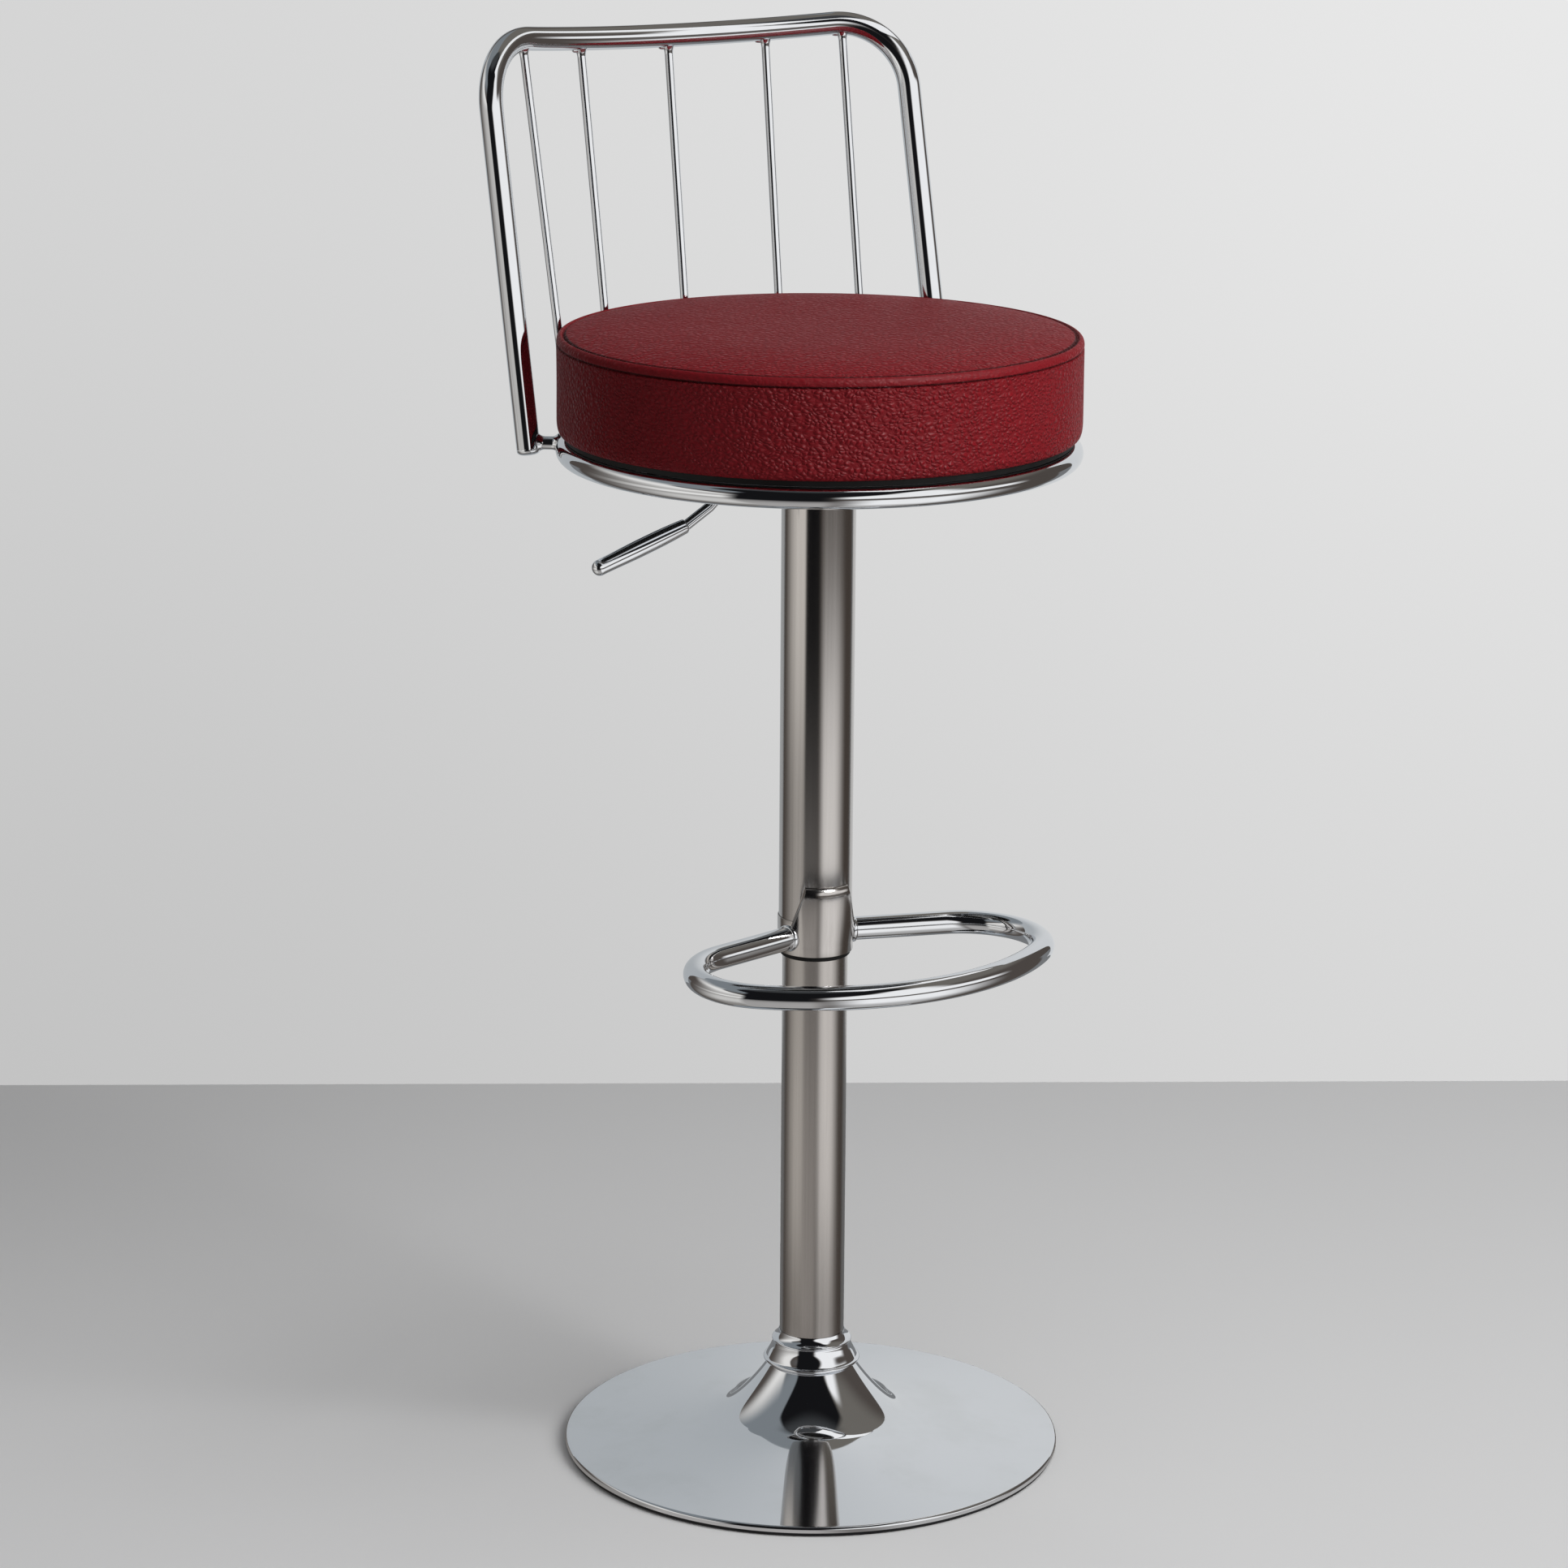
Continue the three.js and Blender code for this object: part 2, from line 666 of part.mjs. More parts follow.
// The tongue's full turn, which the footrest's arms are cut by as well
function tongueTurned(bore, extra) {
  return turned([
    [bore, tubeFoot], [sleeveOuter + extra, tubeFoot], [sleeveOuter + extra, footrestHeight],
    [tongueRadius + extra, tongueTop - tongueBevel], [tongueRadius - tongueBevel + extra, tongueTop],
    [bore, tongueTop],
  ], columnSides);
}

function footrestSleeve() {
  const sleeve = turned([
    [sleeveBore, tubeFoot], [sleeveOuter - sleeveRounding, tubeFoot], [sleeveOuter, tubeFoot + sleeveRounding],
    [sleeveOuter, sleeveTop], [sleeveBore, sleeveTop],
  ], columnSides);
  const outline = new THREE.Shape([
    new THREE.Vector2(-tongueFootWidth / 2, footrestHeight), new THREE.Vector2(tongueFootWidth / 2, footrestHeight),
    new THREE.Vector2(tongueTopWidth / 2, tongueTop + overrun), new THREE.Vector2(-tongueTopWidth / 2, tongueTop + overrun),
  ]);
  const wedge = new THREE.ExtrudeGeometry(outline, { depth: tongueRadius + overrun, bevelEnabled: false });
  return sleeve.add(tongueTurned(sleeveBore, 0).intersect(toSolid(wedge.rotateX(Math.PI / 2))));
}

// Half of the footrest seen from above: [ahead, aside], from its arm to the middle of the front
function footrestHalf() {
  const arm = new THREE.Vector2(Math.cos(footrestArmAngle), Math.sin(footrestArmAngle));
  const inward = new THREE.Vector2(arm.y, -arm.x).multiplyScalar(footrestCornerRadius);
  const frontCentre = new THREE.Vector2(footrestReach - footrestFrontRadius, 0);
  const offset = inward.clone().sub(frontCentre);
  const along = offset.dot(arm);
  const span = footrestFrontRadius - footrestCornerRadius;
  const run = Math.sqrt(along * along - offset.lengthSq() + span * span) - along;
  const centre = arm.clone().multiplyScalar(run).add(inward);
  const armEnd = Math.atan2(-inward.y, -inward.x);
  const frontEnd = Math.atan2(centre.y, centre.x - frontCentre.x);
  const corner = arcPoints(centre.x, centre.y, footrestCornerRadius, armEnd, frontEnd, bendSteps);
  const front = arcPoints(frontCentre.x, 0, footrestFrontRadius, frontEnd, 0, footrestFrontSteps / 2);
  const start = arm.clone().multiplyScalar(columnRadius);
  return [[start.x, start.y], ...corner, ...front.slice(1)];
}

function footrestLoop() {
  const half = footrestHalf();
  const otherHalf = half.slice(0, -1).reverse().map(([ahead, aside]) => [ahead, -aside]);
  const points = [...half, ...otherHalf].map(([ahead, aside]) => new THREE.Vector3(aside, -ahead, footrestHeight));
  const loop = pipe(points, footrestTube, footrestTube - footrestWall);
  return loop.subtract(tongueTurned(0, gap));
}

// A place on the rolled and tilted backrest: along its arc, and up along its tilt
const legChord = legRadius * Math.cos(legAngle);
const legAside = legRadius * Math.sin(legAngle);
const backHalfAngle = Math.asin(legAside / backArcRadius);

function onBack(angle, height) {
  const sag = backArcRadius * (Math.cos(angle) - Math.cos(backHalfAngle));
  return new THREE.Vector3(
    backArcRadius * Math.sin(angle),
    legChord + sag * Math.cos(backTilt) + height * Math.sin(backTilt),
    ringHeight - sag * Math.sin(backTilt) + height * Math.cos(backTilt),
  );
}

function backRoute() {
  const width = backArcRadius * backHalfAngle;
  const corner = arcPoints(backBend - width, backHeight - backBend, backBend, Math.PI, Math.PI / 2, bendSteps);
  const barHalf = width - backBend;
  const bar = Array.from({ length: backBarSteps - 1 }, (_, i) => [barHalf * ((2 * (i + 1)) / backBarSteps - 1), backHeight]);
  const left = [[-width, -legBelow], ...corner];
  const right = [...left].reverse().map(([along, height]) => [-along, height]);
  return [...left, ...bar, ...right].map(([along, height]) => onBack(along / backArcRadius, height));
}

const backSolid = (extra) => pipe(backRoute(), backTube + extra);
const backrestFrame = () => pipe(backRoute(), backTube, backTube - backWall);

function legPlug(side) {
  const spigot = backTube - backWall - plugPlay;
  const plug = new THREE.Mesh(toGeometry(turned([
    [0, -legBelow - gap - plugCap], [backTube - plugCap, -legBelow - gap - plugCap],
    [backTube, -legBelow - gap - plugCap / 2], [backTube, -legBelow - gap], [spigot, -legBelow - gap],
    [spigot, plugSpigot - legBelow], [0, plugSpigot - legBelow],
  ], pipeSides)));
  plug.rotation.x = -backTilt;
  plug.position.copy(onBack(side * backHalfAngle, 0));
  return plug;
}

function stub(side) {
  const foot = onBack(side * backHalfAngle, 0);
  const root = new THREE.Vector3(side * Math.sin(legAngle), Math.cos(legAngle), 0).multiplyScalar(ringRadius);
  root.z = ringHeight;
  const below = onBack(side * backHalfAngle, -legBelow - overrun);
  const above = onBack(side * backHalfAngle, backHeight - backBend);
  const leg = rodBetween(below, above, backTube + gap, smallSides);
  return rodBetween(root, foot, stubRadius, pipeSides).subtract(leg).subtract(ringSolid(ringTube + gap));
}

function backRod(index) {
  const seat = ringRadius + ringTube + rodWire + gap;
  const foot = rodFootAngles[index];
  const from = new THREE.Vector3(seat * Math.sin(foot), seat * Math.cos(foot), ringHeight - rodBelow);
  const to = onBack(rodTopAngles[index], backHeight);
  return rodBetween(from, to, rodWire, pipeSides).subtract(backSolid(gap));
}

function seatBoard() {
  const disc = turned([[0, boardFoot], [boardRadius, boardFoot], [boardRadius, boardTop], [0, boardTop]], cushionSides);
  return withHoles(disc, boltPlaces, teeBarrelRadius + gap, boardFoot, boardTop);
}

const cushionPoint = ([radiusShare, depthShare]) =>
  [radiusShare * cushionRadius, cushionFoot + depthShare * cushionDepth];

function cushionCover() {
  const outside = [...coverSideShares, ...coverCrownShares].map(cushionPoint);
  const lining = [...liningSideShares, ...liningCrownShares].map(cushionPoint)
    .map(([r, z]) => [Math.max(r - coverWall, 0), z]);
  const hem = [[boardRadius + gap, cushionFoot], [boardRadius + gap, boardTop]];
  const ledge = [lining[0][0], boardTop];
  return turned([...outside, ...[...hem, ledge, ...lining].reverse()], cushionSides);
}

function cushionFoam() {
  const fit = coverWall + gap;
  const side = liningSideShares.map(cushionPoint).map(([r, z]) => [r - fit, z]);
  const crown = liningCrownShares.map(cushionPoint).map(([r, z]) => [Math.max(r - fit, 0), z - gap]);
  return turned([[0, foamFoot], [side[0][0], foamFoot], ...side, ...crown], cushionSides);
}

// The assembly
const stool = new THREE.Group();

function add(name, shape, material) {
  const mesh = shape.isMesh ? shape : new THREE.Mesh(toGeometry(shape));
  mesh.name = name;
  mesh.material = material;
  stool.add(mesh);
}

add('floor_ring', floorRing(), blackRubber());
add('base_shell', baseShell(), chrome());
add('base_weight', baseWeight(), castIron());
add('column_collar', columnCollar(), chrome());
add('column_tube', columnTube(), satinSteel());
add('column_foot_plate', columnFootPlate(), zincSteel());
add('guide_bush', guideBush(), blackNylon());

add('thrust_bearing', thrustBearing(), zincSteel());
add('piston_rod', pistonRod(), chrome());
add('piston', piston(), blackNylon());
add('retaining_clip', retainingClip(), zincSteel());

add('gas_cylinder', gasCylinder(), satinSteel());
add('release_pin', releasePin(), zincSteel());
add('taper_socket', taperSocket(), zincSteel());
add('mechanism_housing', mechanismHousing(), zincSteel());
add('mechanism_plate', mechanismPlate(), zincSteel());
add('tube_flange', tubeFlange(), zincSteel());
flangeScrewPlaces.forEach((place, i) => add(`flange_screw_${i + 1}`, flangeScrew(place), zincSteel()));

add('outer_tube', outerTube(), satinSteel());
add('slide_bush', slideBush(), blackNylon());
add('footrest_sleeve', footrestSleeve(), satinSteel());
add('footrest_loop', footrestLoop(), chrome());

add('lever_rod', leverRod(), chrome());
add('lever_grip', leverGrip(), chrome());
add('lever_pivot_pin', leverPivotPin(), zincSteel());

add('seat_ring', seatRing(), chrome());
add('cross_bar_front', crossBar(-1), chrome());
add('cross_bar_rear', crossBar(1), chrome());
add('stub_left', stub(1), chrome());
add('stub_right', stub(-1), chrome());
add('backrest_frame', backrestFrame(), chrome());
add('leg_plug_left', legPlug(1), chrome());
add('leg_plug_right', legPlug(-1), chrome());
rodFootAngles.forEach((_, i) => add(`rod_${i + 1}`, backRod(i), chrome()));

add('seat_board', seatBoard(), blackBoard());
boltPlaces.forEach((place, i) => add(`seat_bolt_${i + 1}`, seatBolt(place), zincSteel()));
boltPlaces.forEach((place, i) => add(`tee_nut_${i + 1}`, teeNut(place), zincSteel()));
add('cushion_foam', cushionFoam(), paleFoam());
add('cushion_cover', cushionCover(), redLeather());

export default stool;
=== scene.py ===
import math

import bpy
from mathutils import Matrix, Vector, noise


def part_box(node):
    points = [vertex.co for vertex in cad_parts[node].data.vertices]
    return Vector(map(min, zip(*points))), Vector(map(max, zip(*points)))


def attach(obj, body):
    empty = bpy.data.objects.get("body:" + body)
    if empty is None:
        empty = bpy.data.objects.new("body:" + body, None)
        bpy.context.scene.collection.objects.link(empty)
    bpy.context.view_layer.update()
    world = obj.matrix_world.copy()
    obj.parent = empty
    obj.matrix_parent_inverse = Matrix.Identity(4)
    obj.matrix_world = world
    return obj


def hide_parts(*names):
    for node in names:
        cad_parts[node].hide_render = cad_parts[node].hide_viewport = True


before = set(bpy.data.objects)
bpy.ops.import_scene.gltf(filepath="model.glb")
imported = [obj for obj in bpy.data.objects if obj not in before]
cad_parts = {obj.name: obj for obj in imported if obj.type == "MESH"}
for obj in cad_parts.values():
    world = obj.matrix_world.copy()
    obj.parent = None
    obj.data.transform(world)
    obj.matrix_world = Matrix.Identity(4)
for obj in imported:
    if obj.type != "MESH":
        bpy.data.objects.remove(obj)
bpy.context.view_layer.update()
print("stage: frame loaded")

# The studio is laid out as the camera sees it: aside to its right, away from it, and up
studioTurn = math.radians(-30)
studioAside = Vector((math.cos(studioTurn), math.sin(studioTurn), 0))
studioAway = Vector((-math.sin(studioTurn), math.cos(studioTurn), 0))


def inStudio(aside, away, up):
    return studioAside * aside + studioAway * away + Vector((0, 0, up))


# Adds an object by its operator, with nothing else selected
def addNew(name, operator, **settings):
    bpy.ops.object.select_all(action="DESELECT")
    operator(**settings)
    piece = bpy.context.object
    piece.name = name
    return piece


# Camera
camera = {
    "distance": 3.520995,
    "height": 1.456862,
    "tilt": 0.2568569,
    "roll": 0.0070968,
    "pan": 0.0069902,
    "lens": 110.19,
    "sensor": 36.0,
}


def makeCamera(name, size):
    eye = addNew(name, bpy.ops.object.camera_add)
    eye.data.lens = size["lens"]
    eye.data.sensor_width = size["sensor"]
    eye.matrix_world = (
        Matrix.Rotation(studioTurn, 4, "Z")
        @ Matrix.Translation((0, -size["distance"], size["height"]))
        @ Matrix.Rotation(size["pan"], 4, "Z")
        @ Matrix.Rotation(math.pi / 2 - size["tilt"], 4, "X")
        @ Matrix.Rotation(size["roll"], 4, "Z")
    )
    bpy.context.scene.camera = eye


makeCamera("photoCamera", camera)
bpy.context.scene.view_settings.view_transform = "Standard"


# Shader maths: a wire is a node's output that adds the nodes for the sums it is used in
class Wire:
    def __init__(self, recipe, socket):
        self.recipe = recipe
        self.socket = socket

    def sum(self, operation, first, second=0.0):
        return self.recipe.add("ShaderNodeMath", {"operation": operation}, {0: first, 1: second})

    def __add__(self, other):
        return self.sum("ADD", self, other)

    def __radd__(self, other):
        return self.sum("ADD", other, self)

    def __sub__(self, other):
        return self.sum("SUBTRACT", self, other)

    def __rsub__(self, other):
        return self.sum("SUBTRACT", other, self)

    def __mul__(self, other):
        return self.sum("MULTIPLY", self, other)

    def __rmul__(self, other):
        return self.sum("MULTIPLY", other, self)


class Recipe:
    def __init__(self, owner):
        owner.use_nodes = True
        self.tree = owner.node_tree
        self.tree.nodes.clear()

    # Adds any node: its settings first, then the values or wires of its sockets
    def add(self, kind, settings=None, sockets=None, output=0):
        node = self.tree.nodes.new(kind)
        for key, value in (settings or {}).items():
            setattr(node, key, value)
        for key, value in (sockets or {}).items():
            if isinstance(value, Wire):
                self.tree.links.new(value.socket, node.inputs[key])
            else:
                node.inputs[key].default_value = value
        return Wire(self, node.outputs[output]) if node.outputs else None

    def fade(self, value, low, high, start=0.0, end=1.0):
        return self.add(
            "ShaderNodeMapRange", {"interpolation_type": "SMOOTHSTEP"},
            {0: value, 1: low, 2: high, 3: start, 4: end},
        )

    # The same fade, with its ends in degrees
    def fadeTurn(self, value, low, high, start=0.0, end=1.0):
        return self.fade(value, math.radians(low), math.radians(high), start, end)

    def between(self, value, low, high, soft):
        rise = self.fade(value, low - soft, low + soft)
        return rise * self.fade(value, high - soft, high + soft, 1.0, 0.0)

    def blend(self, amount, first, second):
        tones = [(*tone, 1) if isinstance(tone, tuple) else tone for tone in (first, second)]
        return self.add("ShaderNodeMix", {"data_type": "RGBA"}, {0: amount, 6: tones[0], 7: tones[1]}, output=2)

    # Object coordinates, stretched where a scale is given
    def place(self, scale=(1, 1, 1)):
        here = self.add("ShaderNodeTexCoord", output=3)
        return self.add("ShaderNodeMapping", {}, {0: here, 3: scale})

    def grain(self, place, scale, detail=3.0, roughness=0.5, output=0):
        sockets = {"Vector": place, "Scale": scale, "Detail": detail, "Roughness": roughness}
        return self.add("ShaderNodeTexNoise", {}, sockets, output)

    def cells(self, place, scale, feature="F1", output=0):
        return self.add("ShaderNodeTexVoronoi", {"feature": feature}, {"Vector": place, "Scale": scale}, output)

    def height(self, place):
        return self.add("ShaderNodeSeparateXYZ", {}, {0: place}, output=2)

    def vector(self, operation, sockets, output=0):
        return self.add("ShaderNodeVectorMath", {"operation": operation}, sockets, output)

    # One for rays from the camera (0) or off something glossy (3)
    def rayFrom(self, output):
        return self.add("ShaderNodeLightPath", output=output)

    def bump(self, height, strength, distance):
        return self.add("ShaderNodeBump", {}, {"Strength": strength, "Distance": distance, "Height": height})

    def surface(self, sockets):
        shader = self.add("ShaderNodeBsdfPrincipled", {}, sockets)
        self.add("ShaderNodeOutputMaterial", {}, {0: shader})


def newRecipe(name):
    material = bpy.data.materials.new(name)
    return material, Recipe(material)


# Finishes: grain and cells are counted per metre
chromeLook = {
    "tone": (0.80, 0.82, 0.85),
    "smudged": (0.76, 0.78, 0.80),
    "roughness": 0.035,
    "rougher": 0.03,
    "smudge": 14.0,
    "dust": 900.0,
    "ripple": 22.0,
}


def makeChrome(look):
    material, mix = newRecipe("mirrorChrome")
    here = mix.place()
    smudge = mix.fade(mix.grain(here, look["smudge"], 4.0, 0.6), 0.45, 0.75)
    dust = mix.fade(mix.cells(here, look["dust"]), 0.0, 0.06, 1.0, 0.0)
    mix.surface({
        "Base Color": mix.blend(smudge, look["tone"], look["smudged"]),
        "Metallic": 1.0,
        "Roughness": look["roughness"] + smudge * look["rougher"] + dust * look["rougher"],
        "Normal": mix.bump(mix.grain(here, look["ripple"], 1.0), 0.05, 0.0004),
    })
    return material


brushed = {"lines": (260, 260, 2.2), "cloud": (9, 9, 4), "cloudRoughness": 0.06, "depth": 0.0002}


def makeBrushed(name, tone, dark, roughness, streak):
    material, mix = newRecipe(name)
    lines = mix.grain(mix.place(brushed["lines"]), 1.0, 6.0, 0.7)
    cloud = mix.grain(mix.place(brushed["cloud"]), 1.0, 3.0)
    mix.surface({
        "Base Color": mix.blend(mix.fade(lines * 0.6 + cloud * 0.4, 0.35, 0.65), dark, tone),
        "Metallic": 1.0,
        "Roughness": roughness + (lines - 0.5) * streak + (cloud - 0.5) * brushed["cloudRoughness"],
        "Normal": mix.bump(lines, 0.06, brushed["depth"]),
    })
    return material


zincLook = {
    "dull": (0.46, 0.47, 0.48),
    "bright": (0.68, 0.68, 0.66),
    "flakes": 120.0,
    "haze": 30.0,
    "roughness": 0.34,
}


def makeZinc(look):
    material, mix = newRecipe("zincSteel")
    here = mix.place()
    flakes = mix.add("ShaderNodeRGBToBW", {}, {0: mix.cells(here, look["flakes"], output=1)})
    haze = mix.grain(here, look["haze"], 5.0, 0.6)
    mix.surface({
        "Base Color": mix.blend(flakes * 0.5 + haze * 0.5, look["dull"], look["bright"]),
        "Metallic": 1.0,
        "Roughness": look["roughness"] + haze * 0.2,
        "Normal": mix.bump(haze, 0.15, 0.0003),
    })
    return material


ironLook = {"tone": (0.020, 0.021, 0.022), "stained": (0.050, 0.047, 0.044), "lumps": 160.0, "stain": 12.0}


def makeCastIron(look):
    material, mix = newRecipe("castIron")
    here = mix.place()
    stain = mix.grain(here, look["stain"], 4.0)
    mix.surface({
        "Base Color": mix.blend(stain, look["tone"], look["stained"]),
        "Metallic": 0.3,
        "Roughness": 0.62 + stain * 0.25,
        "Normal": mix.bump(mix.grain(here, look["lumps"], 6.0, 0.65), 0.6, 0.0008),
    })
    return material


# Rubber, nylon and stained board: black, a little paler where it is worn
def makeBlack(name, tone, roughness, speckle, depth):
    material, mix = newRecipe(name)
    here = mix.place()
    wear = mix.fade(mix.grain(here, 25.0, 3.0), 0.4, 0.8)
    mix.surface({
        "Base Color": mix.blend(wear, tone, tuple(value * 2.2 for value in tone)),
        "Roughness": roughness + wear * 0.12,
        "Normal": mix.bump(mix.grain(here, speckle, 4.0, 0.6), 0.35, depth),
        "Specular IOR Level": 0.25,
    })
    return material


leather = {
    "tone": (0.186, 0.0052, 0.0098),
    # Painted shade: the darker tone in the grain's creases
    "creaseShade": (0.104, 0.0028, 0.0054),
    "faded": (0.208, 0.0074, 0.0126),
    # Painted shade: the dark tone laid along the seams
    "seamShade": (0.020, 0.0010, 0.0016),
    "flattened": 1.45,
    "pebble": 245.0,
    "fine": 900.0,
    "bend": 70.0,
    "bendReach": 0.008,
    "patch": 45.0,
    "cloud": 9.0,
    "wear": 4.0,
    "depth": 0.00095,
    "gloss": 0.12,
    "sideSeam": 0.8705,
    "sideSeamHalf": 0.0007,
    "topSeam": 0.1892,
    "topSeamHalf": 0.0010,
    "topStart": 0.8745,
}


def makeLeather(size):
    material, mix = newRecipe("redLeather")
    whole = mix.place()
    here = mix.place((1, 1, size["flattened"]))
    bend = mix.grain(here, size["bend"], 2.0, output=1)
    shift = mix.vector("SCALE", {0: bend, 3: size["bendReach"]})
    wavy = mix.vector("ADD", {0: here, 1: shift})
    crease = mix.fade(mix.cells(wavy, size["pebble"], "DISTANCE_TO_EDGE"), 0.0, 0.34)
    dome = mix.fade(mix.cells(wavy, size["pebble"]), 0.0, 0.8, 1.0, 0.0)
    wrinkle = mix.grain(here, size["fine"], 2.0)
    patch = mix.grain(here, size["patch"], 2.0)
    cloud = mix.grain(here, size["cloud"], 3.0)
    wear = mix.fade(mix.grain(here, size["wear"], 3.0, 0.6), 0.42, 0.78)
    # The hide is stretched smoother over the top, and its seams get painted shade, a dark line along each seam
    height = mix.height(whole)
    radius = mix.vector("LENGTH", {0: mix.vector("MULTIPLY", {0: whole, 1: (1, 1, 0)})}, 1)
    side, sideHalf = size["sideSeam"], size["sideSeamHalf"]
    top, topHalf = size["topSeam"], size["topSeamHalf"]
    stretched = mix.fade(height, size["topStart"], size["topStart"] + 0.003)
    sideSeam = mix.between(height, side - sideHalf, side + sideHalf, 0.0004)
    above = mix.fade(height, side + 0.0028, side + 0.0034)
    topSeam = mix.between(radius, top - topHalf, top + topHalf, 0.0003) * above
    body = mix.blend(wear, size["tone"], size["faded"])
    # Painted shade darkens the grain towards the creases between the pebbles
    tinted = mix.blend((1 - crease) * 0.30, body, size["creaseShade"])
    # Painted shade darkens the leather in a thin band along the side seam and the top seam
    tinted = mix.blend((sideSeam + topSeam) * 0.85, tinted, size["seamShade"])
    fold = mix.fade(radius, top + 0.0008, top + 0.0014) * mix.fade(height, side, side + 0.001)
    pebbles = crease * (0.10 + patch * 0.3) + dome * 1.1
    relief = pebbles * (1 - stretched * 0.35) * (1 - fold * 0.75) + wrinkle * 0.10 + cloud * 0.4
    mix.surface({
        "Base Color": tinted,
        "Roughness": 0.35 + (1 - crease) * 0.18 + cloud * 0.10,
        "Normal": mix.bump(relief, 1.0, size["depth"]),
        "Specular IOR Level": size["gloss"],
    })
    return material


chrome = makeChrome(chromeLook)
satinTube = makeBrushed("satinTube", (0.59, 0.568, 0.552), (0.52, 0.498, 0.482), 0.15, 0.05)
satinColumn = makeBrushed("satinColumn", (0.575, 0.547, 0.525), (0.50, 0.475, 0.455), 0.25, 0.08)
zincSteel = makeZinc(zincLook)
castIron = makeCastIron(ironLook)
blackRubber = makeBlack("blackRubber", (0.012, 0.012, 0.013), 0.62, 700.0, 0.0003)
blackNylon = makeBlack("blackNylon", (0.006, 0.006, 0.006), 0.55, 300.0, 0.0001)
blackBoard = makeBlack("blackBoard", (0.008, 0.008, 0.008), 0.55, 220.0, 0.0003)
redLeather = makeLeather(leather)
print("stage: finishes ready")


# Modelling
def pick(piece):
    bpy.ops.object.select_all(action="DESELECT")
    piece.select_set(True)
    bpy.context.view_layer.objects.active = piece
    return piece


def applyShift(piece):
    pick(piece)
    bpy.ops.object.transform_apply(location=True, rotation=True, scale=True)
    return piece


# A finished piece gets its material, rides on its body and stands for its solids
def finishPiece(piece, material, body, replaced, smoothing=35.0):
    pick(piece)
    bpy.ops.object.shade_smooth_by_angle(angle=math.radians(smoothing))
    piece.data.materials.clear()
    piece.data.materials.append(material)
    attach(piece, body)
    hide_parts(*replaced)
    return piece


def useModifier(piece, kind, **settings):
    pick(piece)
    modifier = piece.modifiers.new(kind.lower(), kind)
    for key, value in settings.items():
        setattr(modifier, key, value)
    bpy.ops.object.modifier_apply(modifier=modifier.name)
    return piece


# Leaves edit mode with doubled points merged and all faces turned outwards
def closeMesh():
    bpy.ops.mesh.select_all(action="SELECT")
    bpy.ops.mesh.remove_doubles(threshold=0.000002)
    bpy.ops.mesh.normals_make_consistent(inside=False)
    bpy.ops.object.mode_set(mode="OBJECT")


# An outline of (radius, height) points is extruded from one vertex and spun about the upright axis
def turnOutline(name, outline, steps=128):
    piece = addNew(name, bpy.ops.mesh.primitive_plane_add, size=0.001)
    bpy.ops.object.mode_set(mode="EDIT")
    bpy.ops.mesh.select_mode(type="VERT")
    bpy.ops.mesh.select_all(action="SELECT")
    bpy.ops.mesh.merge(type="CENTER")
    bpy.ops.transform.translate(value=(outline[0][0], 0, outline[0][1]))
    onAxis = outline[0][0] == 0 and outline[-1][0] == 0
    following = outline[1:] if onAxis else [*outline[1:], outline[0]]
    for (fromRadius, fromHeight), (radius, height) in zip(outline, following):
        step = (radius - fromRadius, 0, height - fromHeight)
        bpy.ops.mesh.extrude_region_move(TRANSFORM_OT_translate={"value": step})
    bpy.ops.mesh.select_all(action="SELECT")
    bpy.ops.mesh.spin(steps=steps, angle=2 * math.pi, center=(0, 0, 0), axis=(0, 0, 1))
    closeMesh()
    return piece


def ringOutline(inner, outer, low, high, edge=0.0005):
    return [
        (inner, low), (outer - edge, low), (outer, low + edge), (outer, high - edge), (outer - edge, high),
        (inner, high),
    ]


# A plain tube as high and wide as its solid, inside which it has a bore or a wall of its own
def makeTube(name, node, steps, material, body, bore=0, wall=0, edge=0.0005):
    low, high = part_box(node)
    tube = turnOutline(name, ringOutline(bore or high.x - wall, high.x, low.z, high.z, edge), steps)
    finishPiece(tube, material, body, [node])


# Stands a piece that was made along the upright axis on another line
def standOn(piece, foot, head):
    turn = Vector((0, 0, 1)).rotation_difference(head - foot).to_matrix().to_4x4()
    piece.matrix_world = Matrix.Translation(foot) @ turn
    return applyShift(piece)


def joinPieces(name, pieces):
    bpy.ops.object.select_all(action="DESELECT")
    for piece in pieces:
        piece.select_set(True)
    bpy.context.view_layer.objects.active = pieces[0]
    bpy.ops.object.join()
    pieces[0].name = name
    return pieces[0]


# A round bar or tube bent along a route
def bendTube(name, route, radius, sides=10):
    piece = addNew(name, bpy.ops.curve.primitive_nurbs_path_add)
    line = piece.data
    line.splines.clear()
    spline = line.splines.new("POLY")
    spline.points.add(len(route) - 1)
    for point, place in zip(spline.points, route):
        point.co = (*place, 1)
    line.dimensions = "3D"
    line.twist_mode = "MINIMUM"
    line.bevel_depth = radius
    line.bevel_resolution = sides
    line.use_fill_caps = True
    pick(piece)
    bpy.ops.object.convert(target="MESH")
    bpy.ops.object.mode_set(mode="EDIT")
    closeMesh()
    return piece


def arcPoints(centre, radius, start, end, steps):
    angles = [start + (end - start) * index / steps for index in range(steps + 1)]
    return [(centre[0] + radius * math.cos(angle), centre[1] + radius * math.sin(angle)) for angle in angles]


def bezierPoints(first, second, third, fourth, steps):
    points = []
    for index in range(steps + 1):
        t = index / steps
        weights = ((1 - t) ** 3, 3 * t * (1 - t) ** 2, 3 * t * t * (1 - t), t ** 3)
        pairs = list(zip(weights, (first, second, third, fourth)))
        points.append(tuple(sum(weight * point[axis] for weight, point in pairs) for axis in (0, 1)))
    return points


